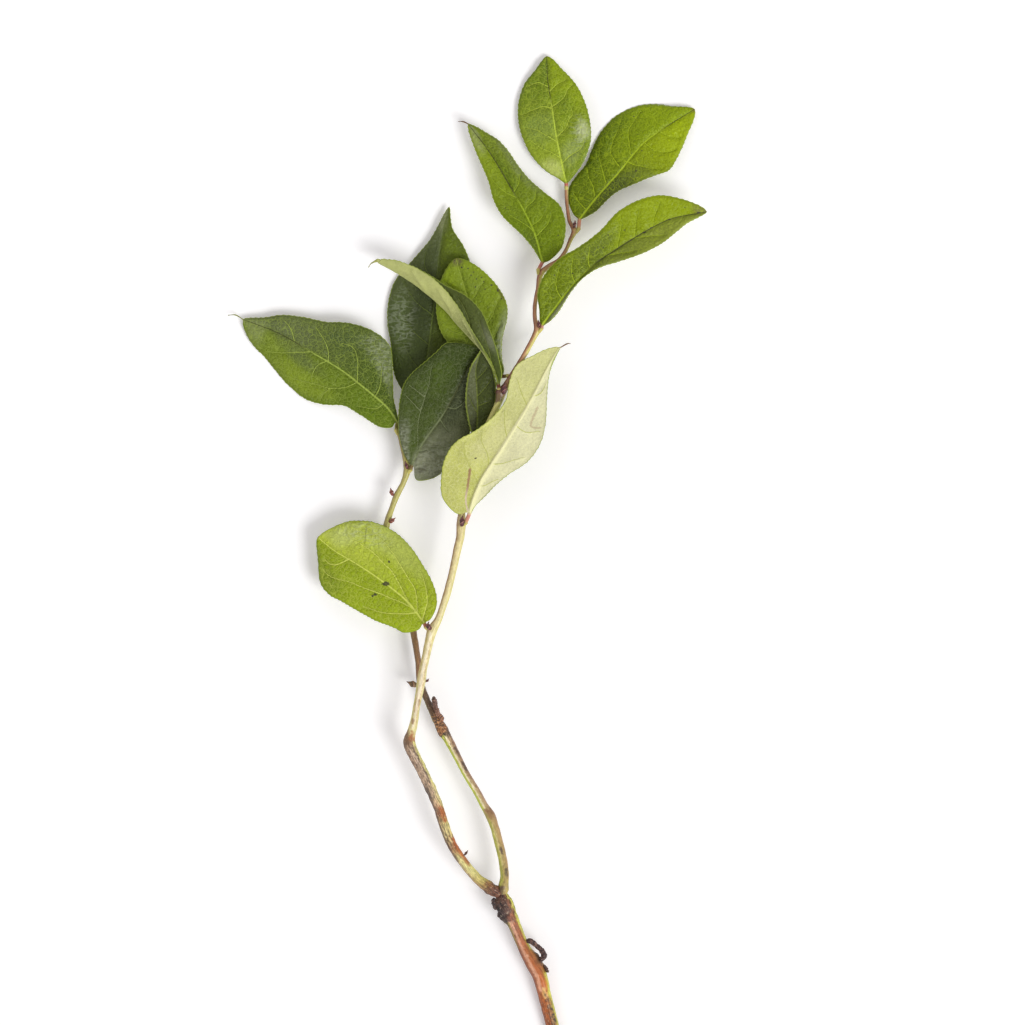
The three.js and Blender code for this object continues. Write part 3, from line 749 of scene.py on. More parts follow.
            (0.4, 0.22, 0.4, 0.12, (150, 166, 96), 0.65),
            (-0.4, 0.45, 0.6, 0.15, (122, 142, 72), 0.5),
            # Painted sheen near the base on the left
            (-0.5, 0.13, 0.6, 0.1, (196, 208, 118), 0.8),
            (0.35, 0.6, 0.35, 0.14, (90, 116, 12), 0.5),
            (-0.1, 0.9, 0.4, 0.12, (82, 104, 30), 0.5),
        ],
        "wrinkles": [(0.7, 0.38, 0.35, 0.15)],
        "net": 0.42,
        "vein": (192, 212, 74),
        "groove": 0.62,
        "petiole": (196, 112, 100),
    },
}
UNDERSIDE = (172, 178, 104)
UNDERSIDE_VEIN = (196, 200, 130)
PALE_NET = (236, 236, 176)
PALE_RIB = (236, 234, 180)
TURNED_UPPER = (128, 142, 60)
TURNED_VEIN = (158, 168, 84)
GREEN_MARGIN = (150, 168, 62)
DRY_TIP = (118, 88, 54)
SPECK = (66, 62, 50)
SCAR = (160, 116, 92)
HEALED_SCAR = (226, 204, 186)
# The dark midrib: partly its own colour, partly painted shade in its groove
GROOVE = (70, 74, 34)
# Painted sheen on the wrinkled patches
PAINTED_SHEEN = (196, 202, 180)
NODE_GREEN = (206, 196, 112)
# Painted shade in the folds beside the veins
FOLD_SHADE = (0.5, 0.55, 0.4, 1.0)  # what the blade's colour is multiplied by beside a vein
# Lines on a blade: half widths of its veins and midrib and width of its rim in mm, cells of
# its net in metres, and how far the net's lines wander
VEIN_WIDTH = 0.32
RIB_WIDTH = 0.6
UNDER_RIB_WIDTH = 1.6
RIM_WIDTH = 0.45
CELL_SIZE = 0.0022
UNDER_CELL_SIZE = 0.0018
NET_BEND = 0.0022
# Noise on a blade, in lumps a metre
CLOUDS = 130.0
MOTTLE = 1300.0
UNDER_CLOUDS = 140.0
VEIN_WANDER = 420.0
NET_WANDER = 350.0
RAGGED_EDGES = 1800.0
GLOSS_CLOUDS = 260.0
GRAIN = 1700.0
SHEEN_STREAKS = (200.0, 520.0, 380.0)
WRINKLE_FOLDS = (700.0, 260.0, 500.0)
# Relief of a blade
GROOVE_WIDTH = 0.6  # in mm, from the midrib's middle
QUILT_REACH = 1.7  # in mm, from a vein to where the blade has bulged
RAGGED_SIZE = 6 * MM
CURL_START = math.radians(100)  # direction in which the rolled half leaves the midrib
CURL_END = math.radians(190)  # direction of its margin
CURL_THICKNESS = 0.35 * MM
NO_LINE = 20.0  # distance in mm where a blade has no line
LINE_POINTS = 60  # closely spaced points of a vein


def blade_share(step):
    """The share of the blade's length after so many of its steps; past its tip it goes on."""
    inside = (1 - np.cos(np.pi * np.clip(step, 0, BLADE_STEPS) / BLADE_STEPS)) / 2
    return inside + 0.02 * np.maximum(step - BLADE_STEPS, 0)


def across_places(count):
    """Places across a blade from -1 to 1, closer together at the margins and the midrib."""
    step = np.linspace(0, 1, count // 2 + 1)
    half = (step + (1 - np.cos(np.pi * step)) / 2) / 2
    return np.concatenate([-half[::-1], half[1:]])


def blade_grid(skin, root, picked, sizes, across):
    """One side of a leaf as a grid of points, and the standing of its midrib in each row."""
    rings, foot, tip = skin
    centres = rings.mean(axis=1)
    base = foot + (centres[1] - foot) / PETIOLE_REACH
    neck = rings[1] - centres[1] + base
    section = rings[0] - centres[0]
    end = np.broadcast_to(tip, neck.shape)
    stalk = [section * 0.6 + root, section * 1.1 + foot, rings[0], rings[1], neck]
    petiole = np.stack(stalk)[:, picked]
    blade = np.concatenate([[neck], rings[2:], [end]])[:, picked]
    rows = []
    ribs = []
    for stack, places in (
        (petiole, np.linspace(0, len(petiole) - 1, sizes.petiole_rows, endpoint=False)),
        (blade, np.linspace(0, len(blade) - 1, sizes.rows)),
    ):
        rails = stack.copy()
        middle = (rails[:, MIDDLE_RAIL - 1] + rails[:, MIDDLE_RAIL + 1]) / 2
        rib = rails[:, MIDDLE_RAIL] - middle
        if picked is LOWER_SIDES:
            rails[:, MIDDLE_RAIL] = middle
        knots = np.arange(len(stack))
        rows.append(spline(knots, rails, places))
        ribs.append(spline(knots, rib, places))
    rows = np.concatenate(rows)
    grid = np.swapaxes(spline(RAILS, np.swapaxes(rows, 0, 1), across), 0, 1)
    return grid, np.concatenate(ribs)


def row_shares(rings, sizes):
    """How far along the blade each row of a leaf lies: below 0 on its petiole."""
    petiole = np.linspace(-0.05, 0, sizes.petiole_rows, endpoint=False)
    steps = np.linspace(0, len(rings) - PETIOLE_RINGS + 1, sizes.rows)
    return np.concatenate([petiole, blade_share(steps)])


def surface_normals(grid):
    """The direction out of the upper side at each point of a grid."""
    along = np.gradient(grid, axis=0)
    over = np.gradient(grid, axis=1)
    return unit(np.cross(over, along))


def curl_left_half(upper, lower, share, across, look):
    """Rolls a blade's left half up and over its midrib, so that its underside shows."""
    middle = len(across) // 2
    midrib = upper[:, middle]
    forward = unit(np.gradient(midrib, axis=0))
    right = unit(np.cross(forward, (0, 0, 1)))
    above = np.cross(right, forward)
    places, reaches = np.array(look["curl"]).T
    turn = CURL_END - CURL_START
    reach = np.interp(share, places, reaches) * MM
    width = reach * turn / (math.sin(CURL_START) - math.sin(CURL_END))
    amount = (smoothstep(0, 0.03, share) * smoothstep(1.03, 0.99, share))[:, None, None]
    outwards = -across[:middle]
    angle = CURL_START + turn * outwards
    sideways = (math.sin(CURL_START) - np.sin(angle)) / turn
    upwards = (math.cos(CURL_START) - np.cos(angle)) / turn
    curled = midrib[:, None] + width[:, None, None] * (
        sideways[None, :, None] * right[:, None] + upwards[None, :, None] * above[:, None])
    thickness = CURL_THICKNESS * np.minimum(1, (1 - outwards) / 0.12)
    back = -np.sin(angle)[None, :, None] * right[:, None]
    back = back - np.cos(angle)[None, :, None] * above[:, None]
    outer = curled + thickness[None, :, None] * back
    upper[:, :middle] += amount * (curled - upper[:, :middle])
    lower[:, :middle] += amount * (outer - lower[:, :middle])


def line_points(line, upper, share, across):
    """Closely spaced points of a vein on the blade, with its direction and its width."""
    line = np.array(line, float)
    knots = np.arange(len(line))
    fine = spline(knots, line, np.linspace(0, len(line) - 1, LINE_POINTS))
    row = np.interp(fine[:, 1], share, np.arange(len(share)))
    column = np.interp(fine[:, 0], across, np.arange(len(across)))
    row_low = np.clip(row.astype(int), 0, len(share) - 2)
    column_low = np.clip(column.astype(int), 0, len(across) - 2)
    row_part = (row - row_low)[:, None]
    column_part = (column - column_low)[:, None]
    near = upper[row_low, column_low] * (1 - column_part)
    near = near + upper[row_low, column_low + 1] * column_part
    far = upper[row_low + 1, column_low] * (1 - column_part)
    far = far + upper[row_low + 1, column_low + 1] * column_part
    points = near * (1 - row_part) + far * row_part
    width = np.linspace(1.0, 0.55, len(points))
    return points, unit(np.gradient(points, axis=0)), width


def line_distances(lines, upper, normals, share, across):
    """Each point's distance in mm to the nearest line: with its side as sign, and without."""
    if not lines:
        far = np.full(upper.shape[:2], NO_LINE)
        return far, far
    found = [line_points(line, upper, share, across) for line in lines]
    points, ways, widths = (np.concatenate(each) for each in zip(*found))
    tree = kdtree.KDTree(len(points))
    for index, point in enumerate(points):
        tree.insert(point, index)
    tree.balance()
    flat = upper.reshape(-1, 3)
    hits = [tree.find(point) for point in flat]
    nearest = np.array([hit[1] for hit in hits])
    plain = np.array([hit[2] for hit in hits]) / MM / widths[nearest]
    beside = np.cross(ways[nearest], normals.reshape(-1, 3))
    offset = flat - points[nearest]
    signed = np.sign((beside * offset).sum(axis=1)) * plain
    return signed.reshape(upper.shape[:2]), plain.reshape(upper.shape[:2])


def side_colours(ends, share):
    """A half's colour along the blade, from its colour near the base to that near the tip."""
    base, tip = (tone(colour) for colour in ends)
    return base + smoothstep(0.12, 0.85, share)[..., None] * (tip - base)


def zone_mask(zone, share, over, ragged):
    """A soft patch on the blade."""
    across, along, reach_across, reach_along = zone[:4]
    away = np.hypot((over - across) / reach_across, (share - along) / reach_along)
    return smoothstep(1.15, 0.35, away + 0.18 * ragged)


def blade_colours(look, share, over, ragged):
    """The blade's colours before its veins: two halves, each from base to tip, and soft patches of
    tint, painted sheen and painted shade.
    """
    left = side_colours(look["left"], share)
    right = side_colours(look["right"], share)
    colours = left + smoothstep(-0.12, 0.12, over)[..., None] * (right - left)
    for zone in look["tints_and_painted_light"]:
        colours = tinted(colours, zone[4], zone[5] * zone_mask(zone, share, over, ragged))
    return colours


def spot_field(look, upper, share, across):
    """Above 0 inside a speck, 1 at its middle."""
    field = np.full(upper.shape[:2], -1.0)
    for over, along, half_length, half_width in look.get("spots", []):
        row = np.argmin(np.abs(share - along))
        column = np.argmin(np.abs(across - over))
        away = (upper - upper[row, column]) / MM
        near = 1 - np.hypot(away[..., 0] / half_length, away[..., 1] / half_width)
        near = np.where(np.abs(away[..., 2]) < 3, near, -1)
        field = np.maximum(field, near)
    return field


def blade_relief(upper, share, over, from_vein, from_midrib, wrinkle, look, sizes, seed):
    """How far the blade stands out of its plain shape: quilting, puckers and a wavy margin."""
    inside = smoothstep(0.0, 0.08, share) * smoothstep(1.0, 0.92, share)
    nearest = np.minimum(from_vein, from_midrib * 1.2)
    quilt = sizes.quilt_height * (1 - np.exp(-((nearest / QUILT_REACH) ** 2)))
    edge = np.abs(over)
    puckers = sizes.pucker_height * rough(upper, sizes.pucker_size, seed, 3)
    fine = rough(upper * (1.0, 0.55, 1.0), sizes.pucker_size / 4, seed + 5, 2)
    fine = sizes.pucker_height * (0.3 + 1.1 * wrinkle) * fine
    wave = sizes.margin_wave * rough(upper, sizes.wave_size, seed + 9, 1) * edge**3
    turned = -0.5 if look.get("upside_down") else 1.0
    calm = smoothstep(1.02, 0.85, edge)
    return inside * ((turned * quilt + puckers + fine) * calm + wave)


def leaf_teeth(upper, share, over, sizes):
    """Outward steps of the margin: small teeth that lean towards the tip."""
    middle = upper.shape[1] // 2
    length = run_along(upper[:, middle])
    outward = unit(np.gradient(upper, axis=1)) * np.sign(over)[..., None]
    beat = (length[:, None] / sizes.tooth_pitch + 0.3 * np.sign(over)) % 1
    height = sizes.tooth_height * (beat**1.6 - 0.4)
    where = smoothstep(0.9, 1.0, np.abs(over)) * smoothstep(0.03, 0.1, share)
    return outward * (height * where * smoothstep(1.0, 0.96, share))[..., None]


def make_leaf(node, look, sizes, axes, seed):
    """One leaf: a round petiole, and a blade with veins, quilting and a toothed margin."""
    skin = read_skin(node, LEAF_SIDES)
    rings, foot, tip = skin
    forward = unit(rings[1].mean(axis=0) - rings[0].mean(axis=0))
    root = root_of(foot, axes, sizes.root_depth) - forward * sizes.root_reach
    across = across_places(sizes.columns)
    upper, _ = blade_grid(skin, root, UPPER_SIDES, sizes, across)
    lower, rib = blade_grid(skin, root, LOWER_SIDES, sizes, across)
    along = row_shares(rings, sizes)
    if "curl" in look:
        curl_left_half(upper, lower, along, across, look)
    share = np.broadcast_to(along[:, None], upper.shape[:2])
    over = np.broadcast_to(across[None, :], upper.shape[:2])
    normals = surface_normals(upper)
    reach = run_along(np.swapaxes(upper, 0, 1)).T / MM
    middle = len(across) // 2
    from_midrib = np.abs(reach - reach[:, middle : middle + 1])
    from_margin = np.minimum(reach, reach[:, -1:] - reach)
    beside_vein, from_vein = line_distances(look["veins"], upper, normals, along, across)
    beside_scar, from_scar = line_distances(look.get("scars"), upper, normals, along, across)

    ragged = rough(upper, RAGGED_SIZE, seed + 3, 4)
    wrinkle = np.zeros(upper.shape[:2])
    for zone in look.get("wrinkles", []):
        wrinkle = np.maximum(wrinkle, zone_mask(zone, share, over, ragged))
    colours = blade_colours(look, share, over, ragged)
    spots = spot_field(look, upper, along, across)

    # The midrib stands out below, and above on a leaf that shows its underside
    rib_shape = np.exp(-((from_midrib * MM / sizes.rib_width) ** 2))[..., None]
    lower = lower + rib_shape * rib[:, None, :]
    if look.get("upside_down"):
        upper = upper - rib_shape * rib[:, None, :] * smoothstep(0, 0.02, share)[..., None]
    else:
        groove = sizes.groove_depth * np.exp(-((from_midrib / GROOVE_WIDTH) ** 2))
        upper = upper - normals * (groove * smoothstep(0.0, 0.05, share))[..., None]
    relief = blade_relief(
        upper, share, over, from_vein, from_midrib, wrinkle, look, sizes, seed)
    shift = relief[..., None] * normals + leaf_teeth(upper, share, over, sizes)
    upper = upper + shift
    lower = lower + shift

    points = fold_over(upper, lower)
    points[:, -1] = points[:, 0]
    points[0] = points[0].mean(axis=0)
    points[-1] = tip
    uv = stacked(fold_over((over + 1) / 2, (over + 1) / 2), fold_over(share, share))
    layers = {
        "leaf_colour": with_alpha(fold_over(colours, colours)),
        "leaf_lines": stack_channels(beside_vein, from_vein, from_margin, from_midrib),
        "leaf_marks": stack_channels(spots, beside_scar, from_scar, wrinkle),
    }
    mesh = make_skin(points, uv, layers, lower_from=len(across) - 1)
    materials = [upper_material(node, look), under_material(node, look)]
    return add_piece(f"{node}_skin", mesh, materials, [node])


def fold_over(upper, lower):
    """The columns of the upper side from left to right, then those of the lower side back."""
    return np.concatenate([upper, lower[:, -2::-1]], axis=1)


def stack_channels(*channels):
    """Up to four values a point as one colour layer, the same on both sides of a blade."""
    values = np.stack(channels, axis=-1)
    return fold_over(values, values)


def lines_group():
    """The lines on a blade: side veins, the net between them, the midrib and the rim.

    Lines holds the distances in mm to the nearest side vein (with its side as sign), to the
    same vein without sign, and to the margin. Centre is the distance to the midrib.
    """
    inputs = [
        ("Lines", COLOUR, None),
        ("Centre", FLOAT, 0.0),
        ("Along", FLOAT, 0.0),
        ("Vein Width", FLOAT, VEIN_WIDTH),
        ("Rib Width", FLOAT, RIB_WIDTH),
        ("Rim Width", FLOAT, RIM_WIDTH),
        ("Cell Size", FLOAT, CELL_SIZE),
    ]
    outputs = [("Veins", FLOAT), ("Net", FLOAT), ("Rib", FLOAT), ("Rim", FLOAT)]
    outputs += [("Bulge", FLOAT), ("Shade", FLOAT)]
    group, wiring, given, result = new_group("leaf_lines", inputs, outputs)
    parts = wiring.add("ShaderNodeSeparateColor", {0: given["Lines"]}).outputs
    where = wiring.place()
    wander = wiring.noise(where, VEIN_WANDER, 2.0)
    wander = wiring.math("MULTIPLY_ADD", wiring.math("SUBTRACT", wander, 0.5), 0.5, parts[0])
    beside = wiring.math("DIVIDE", wiring.math("ABSOLUTE", wander), given["Vein Width"])
    near = wiring.fade(parts[1], 1.1, 1.7)
    inside = wiring.ramp(parts[2], 0.3, 1.4)
    veins = wiring.math("MULTIPLY", wiring.fade(beside, 0.3, 1.0), near)
    wiring.feed(result["Veins"], wiring.math("MULTIPLY", veins, inside))

    # Painted shade in the fold on one side of a vein
    fold = wiring.math("MULTIPLY", wiring.ramp(wander, 0.1, 0.4), wiring.ramp(wander, 0.9, 0.5))
    fold = wiring.math("MULTIPLY", fold, near)
    wiring.feed(result["Shade"], wiring.math("MULTIPLY", fold, inside))

    narrowing = wiring.ramp(given["Along"], 0.0, 1.0, 1.0, 0.4)
    width = wiring.math("MULTIPLY", given["Rib Width"], narrowing)
    centre = wiring.math("DIVIDE", given["Centre"], width)
    wiring.feed(result["Rib"], wiring.fade(centre, 0.35, 1.0))
    rim = wiring.math("DIVIDE", parts[2], given["Rim Width"])
    wiring.feed(result["Rim"], wiring.fade(rim, 0.4, 1.1))

    # Two nets of cells, a coarse one and a fine one, whose lines wander
    inputs = {"Vector": where, "Scale": NET_WANDER, "Detail": 2.0}
    bend = wiring.add("ShaderNodeTexNoise", inputs).outputs["Color"]
    bend = wiring.vector("SUBTRACT", {0: bend, 1: (0.5, 0.5, 0.5)})
    bend = wiring.vector("SCALE", {0: bend, "Scale": NET_BEND})
    bent = wiring.vector("ADD", {0: where, 1: bend})
    nets = []
    bulges = []
    for share, low, high in ((1.0, 0.015, 0.075), (0.4, 0.03, 0.13)):
        size = wiring.math("MULTIPLY", given["Cell Size"], share)
        cells = {"Vector": bent, "Scale": wiring.math("DIVIDE", 1.0, size)}
        cell = wiring.add("ShaderNodeTexVoronoi", cells, feature="DISTANCE_TO_EDGE")
        nets.append(wiring.fade(cell.outputs["Distance"], low, high))
        bulges.append(wiring.ramp(cell.outputs["Distance"], 0.0, 0.45))
    net = wiring.math("MAXIMUM", nets[0], wiring.math("MULTIPLY", nets[1], 0.5))
    wiring.feed(result["Net"], wiring.math("MULTIPLY", net, inside))
    bulge = wiring.math("MULTIPLY_ADD", bulges[1], 0.4, bulges[0])
    wiring.feed(result["Bulge"], wiring.math("MULTIPLY", bulge, inside))
    return group


def leaf_lines(wiring, look):
    """A blade's lines in a material, and its place along the blade."""
    lines = wiring.layer("leaf_lines")
    along = wiring.skin_map()["Y"]
    inputs = {
        "Vein Width": look.get("vein_width", VEIN_WIDTH),
        "Lines": lines["Color"],
        "Centre": lines["Alpha"],
        "Along": along,
        "Rim Width": RIM_WIDTH * look.get("rim", 1.0),
    }
    if look.get("upside_down"):
        inputs["Rib Width"] = UNDER_RIB_WIDTH
        inputs["Cell Size"] = UNDER_CELL_SIZE
    group = bpy.data.node_groups.get("leaf_lines") or lines_group()
    return wiring.add("ShaderNodeGroup", inputs, node_tree=group).outputs, along


def petiole_colour(wiring, along, colour, look):
    """The petiole's colour, which runs a little way up the midrib, and the dry tip."""
    stalk = wiring.mix(wiring.ramp(along, -0.034, -0.016), NODE_GREEN, look["petiole"])
    colour = wiring.mix(wiring.fade(along, -0.01, 0.006), colour, stalk)
    return wiring.mix(wiring.ramp(along, 0.995, 1.005), colour, look.get("tail", DRY_TIP))


def upper_material(node, look):
    """The side that faces up: glossy and green, or the pale matt underside."""
    shows_under = look.get("upside_down", False)
    material, wiring, shader = new_material(f"{node}_upper")
    lines, along = leaf_lines(wiring, look)
    marks = wiring.layer("leaf_marks")
    wrinkles_and_sheen = marks["Alpha"]
    parts = wiring.add("ShaderNodeSeparateColor", {0: marks["Color"]}).outputs
    where = wiring.place()
    vein = look["vein"]

    # The blade with its clouds, the cells of its net and painted shade in the folds beside its
    # veins
    colour = wiring.layer("leaf_colour")["Color"]
    colour = wiring.clouded(colour, where, CLOUDS, 5.0, 0.09, 0.25)
    colour = wiring.clouded(colour, where, MOTTLE, 3.0, 0.09, 0.2)
    depth = 0.02 if shows_under else 0.13
    cells = wiring.ramp(lines["Bulge"], 0.0, 1.4, 1.0 - depth, 1.0 + depth)
    colour = wiring.shaded(colour, cells)
    fold = wiring.shaded(colour, FOLD_SHADE)
    colour = wiring.over(colour, fold, lines["Shade"], 0.0 if shows_under else 0.4)
    colour = wiring.over(colour, PALE_NET if shows_under else vein, lines["Net"], look["net"])
    colour = wiring.over(colour, vein, lines["Veins"], 0.95)

    # Painted sheen: fine pale streaks along the wrinkles
    painted_streaks = wiring.noise(wiring.stretched(where, SHEEN_STREAKS), 1.0, 1.5)
    painted_streaks = wiring.math("ABSOLUTE", wiring.math("SUBTRACT", painted_streaks, 0.5))
    painted_streaks = wiring.ramp(painted_streaks, 0.0, 0.1, 0.22, 0.0)
    colour = wiring.over(colour, PAINTED_SHEEN, painted_streaks, wrinkles_and_sheen)

    rib_colour = PALE_RIB if shows_under else vein
    # Past its start the midrib turns dark: partly its own colour, partly painted shade in its
    # groove
    if "groove" in look:
        start = look["groove"]
        rib_colour = wiring.mix(wiring.ramp(along, start - 0.06, start + 0.1), vein, GROOVE)
    colour = wiring.over(colour, rib_colour, lines["Rib"], 0.92)
    colour = wiring.over(colour, GREEN_MARGIN, lines["Rim"], 0.75)

    # Specks, and scars that are paler near the base
    ragged = wiring.math("SUBTRACT", wiring.noise(where, RAGGED_EDGES), 0.5)
    spot = wiring.ramp(wiring.math("MULTIPLY_ADD", ragged, 1.2, parts[0]), -0.05, 0.12)
    colour = wiring.over(colour, SPECK, spot, 0.9)
    scar = wiring.math("ABSOLUTE", wiring.math("MULTIPLY_ADD", ragged, 1.4, parts[1]))
    scar = wiring.math("MULTIPLY", wiring.fade(scar, 0.3, 0.9), wiring.fade(parts[2], 0.9, 1.5))
    healed = wiring.mix(wiring.fade(along, 0.06, 0.14), SCAR, HEALED_SCAR)
    colour = wiring.over(colour, healed, scar, wiring.ramp(along, 0.3, 0.5, 0.85, 0.4))
    colour = petiole_colour(wiring, along, colour, look)
    base = 0.6 if shows_under else 0.38
    roughness = wiring.ramp(wiring.noise(where, GLOSS_CLOUDS), 0.3, 0.7, base - 0.05, base + 0.09)

    # Relief: cells that bulge between sunken veins, fine grain, and the wrinkles
    height = wiring.math("MULTIPLY_ADD", lines["Veins"], -0.7, lines["Bulge"])
    if shows_under:
        height = wiring.math("MULTIPLY", height, -0.4)
    height = wiring.math("MULTIPLY_ADD", wiring.noise(where, GRAIN, 2.0), 0.15, height)
    wrinkles = wiring.noise(wiring.stretched(where, WRINKLE_FOLDS), 1.0)
    wrinkles = wiring.math("MULTIPLY", wrinkles, wrinkles_and_sheen)
    height = wiring.math("MULTIPLY_ADD", wrinkles, 3.0, height)
    normal = bump(wiring, height, strength=0.9, distance=0.0003)
    wiring.fill(shader, {"Base Color": colour, "Roughness": roughness, "Normal": normal})
    wiring.fill(shader, {"Specular IOR Level": 0.2})
    return material


def under_material(node, look):
    """The side that faces down: pale and matt, or the green upper side of a turned leaf."""
    turned = look.get("upside_down", False)
    material, wiring, shader = new_material(f"{node}_under")
    lines, along = leaf_lines(wiring, look)
    base = TURNED_UPPER if turned else look.get("under", UNDERSIDE)
    if "under_base" in look:
        base = wiring.mix(wiring.fade(along, 0.2, 0.6), base, look["under_base"])
    colour = wiring.clouded(base, wiring.place(), UNDER_CLOUDS, 5.0, 0.15, 0.25)
    ridges = wiring.math("MULTIPLY_ADD", lines["Net"], 0.7, lines["Veins"], clamp=True)
    ridges = wiring.math("MAXIMUM", ridges, lines["Rib"])
    colour = wiring.over(colour, TURNED_VEIN if turned else UNDERSIDE_VEIN, ridges, 0.6)
    colour = wiring.over(colour, GREEN_MARGIN, lines["Rim"], 0.7)
    colour = petiole_colour(wiring, along, colour, look)
    normal = bump(wiring, ridges, strength=0.4, distance=0.0002)
    gloss = 0.42 if turned else 0.6
    wiring.fill(shader, {"Base Color": colour, "Roughness": gloss, "Normal": normal})
    return material


class LeafSizes(bpy.types.PropertyGroup):
    """Sizes that all leaves share."""

    rows: IntProperty(name="Rows", description="Rows of faces along a blade", default=180)
    petiole_rows: IntProperty(name="Petiole rows", description="Rows along a petiole", default=12)
    columns: IntProperty(name="Columns", description="Faces across a blade", default=72)
    root_depth: FloatProperty(
        name="Root depth", description="Share of the way to its twig's axis that a petiole goes",
        default=0.75, subtype="FACTOR")
    root_reach: FloatProperty(
        name="Root reach", description="How far a petiole runs back along its twig",
        default=2.4 * MM, unit="LENGTH")
    rib_width: FloatProperty(
        name="Rib width", description="Half width of the raised midrib",
        default=0.75 * MM, unit="LENGTH")
    groove_depth: FloatProperty(
        name="Groove depth", description="Depth of the groove over the midrib",
        default=0.25 * MM, unit="LENGTH")
    quilt_height: FloatProperty(
        name="Quilt height", description="How far the blade bulges between its veins",
        default=0.55 * MM, unit="LENGTH")
    pucker_height: FloatProperty(
        name="Pucker height", description="Height of the small uneven puckers",
        default=0.25 * MM, unit="LENGTH")
    pucker_size: FloatProperty(
        name="Pucker size", description="Size of the puckers", default=7 * MM, unit="LENGTH")
    margin_wave: FloatProperty(
        name="Margin wave", description="How far the margin waves up and down",
        default=0.5 * MM, unit="LENGTH")
    wave_size: FloatProperty(
        name="Wave size", description="Size of the margin's waves", default=12 * MM, unit="LENGTH")
    tooth_pitch: FloatProperty(
        name="Tooth pitch", description="Distance between the margin's teeth",
        default=2.1 * MM, unit="LENGTH")
    tooth_height: FloatProperty(
        name="Tooth height", description="Height of the margin's teeth",
        default=0.35 * MM, unit="LENGTH")


class SALAL_OT_leaves(bpy.types.Operator):
    """Make the twelve leaves"""

    bl_idname = "salal.leaves"
    bl_label = "Leaves"

    def execute(self, context):
        sizes = context.scene.salal_leaves
        axes = twig_axes()
        for seed, (node, look) in enumerate(LEAVES.items()):
            make_leaf(node, look, sizes, axes, seed)
        return {"FINISHED"}


# ---------------------------------------------------------------- twigs


class TwigSizes(bpy.types.PropertyGroup):
    """Sizes that all twigs share."""

    sides: IntProperty(name="Sides", description="Faces round a twig", default=32)
    row_pitch: FloatProperty(
        name="Row pitch", description="Distance between rows of faces",
        default=0.45 * MM, unit="LENGTH")
    overlap: FloatProperty(
        name="Overlap", description="How far a branch runs into the wood that carries it",
        default=3.2 * MM, unit="LENGTH")
    bark_height: FloatProperty(
        name="Bark height", description="Height of the bark's ridges",
        default=0.3 * MM, unit="LENGTH")


# Bark. Distances are in mm from the twig's start, and a side is an angle in degrees: 0 right,
# 90 top, 180 left.
#   left, top, right: (distance, colour) on those sides
#   rough: (distance, how rough the bark is, from 0 to 1)
#   lumps: swellings (distance, side, half length, half angle, height in mm)
#   patches_and_highlights: (from, to, side, half angle, colour, strength); most are the bark's own
#       colours, some pale stripes along the top are painted highlights
#   rings: bands of old bud scars (from, to, distance between rings, colour, strength)
ALL_ROUND = 400  # half angle of a patch that has no sides
BARK_SPECK = (66, 46, 40)
BARK_FLECK = (226, 206, 176)
GRAIN_TURN = 2.2  # radius of the loop that the bark's grain and ridges run round, in mm
GRAIN_STRETCH = 0.16  # width of the grain as a share of its length
RIDGE_STRETCH = 0.22  # the same for the ridges
RIDGE_SIZE = 0.75 * MM
UNEVEN_SIZE = 2.6 * MM
PATCH_EDGE_SIZE = 1.6 * MM  # lumps of the ragged edges of patches
BARK_SPECKS = 1300.0  # lumps a metre
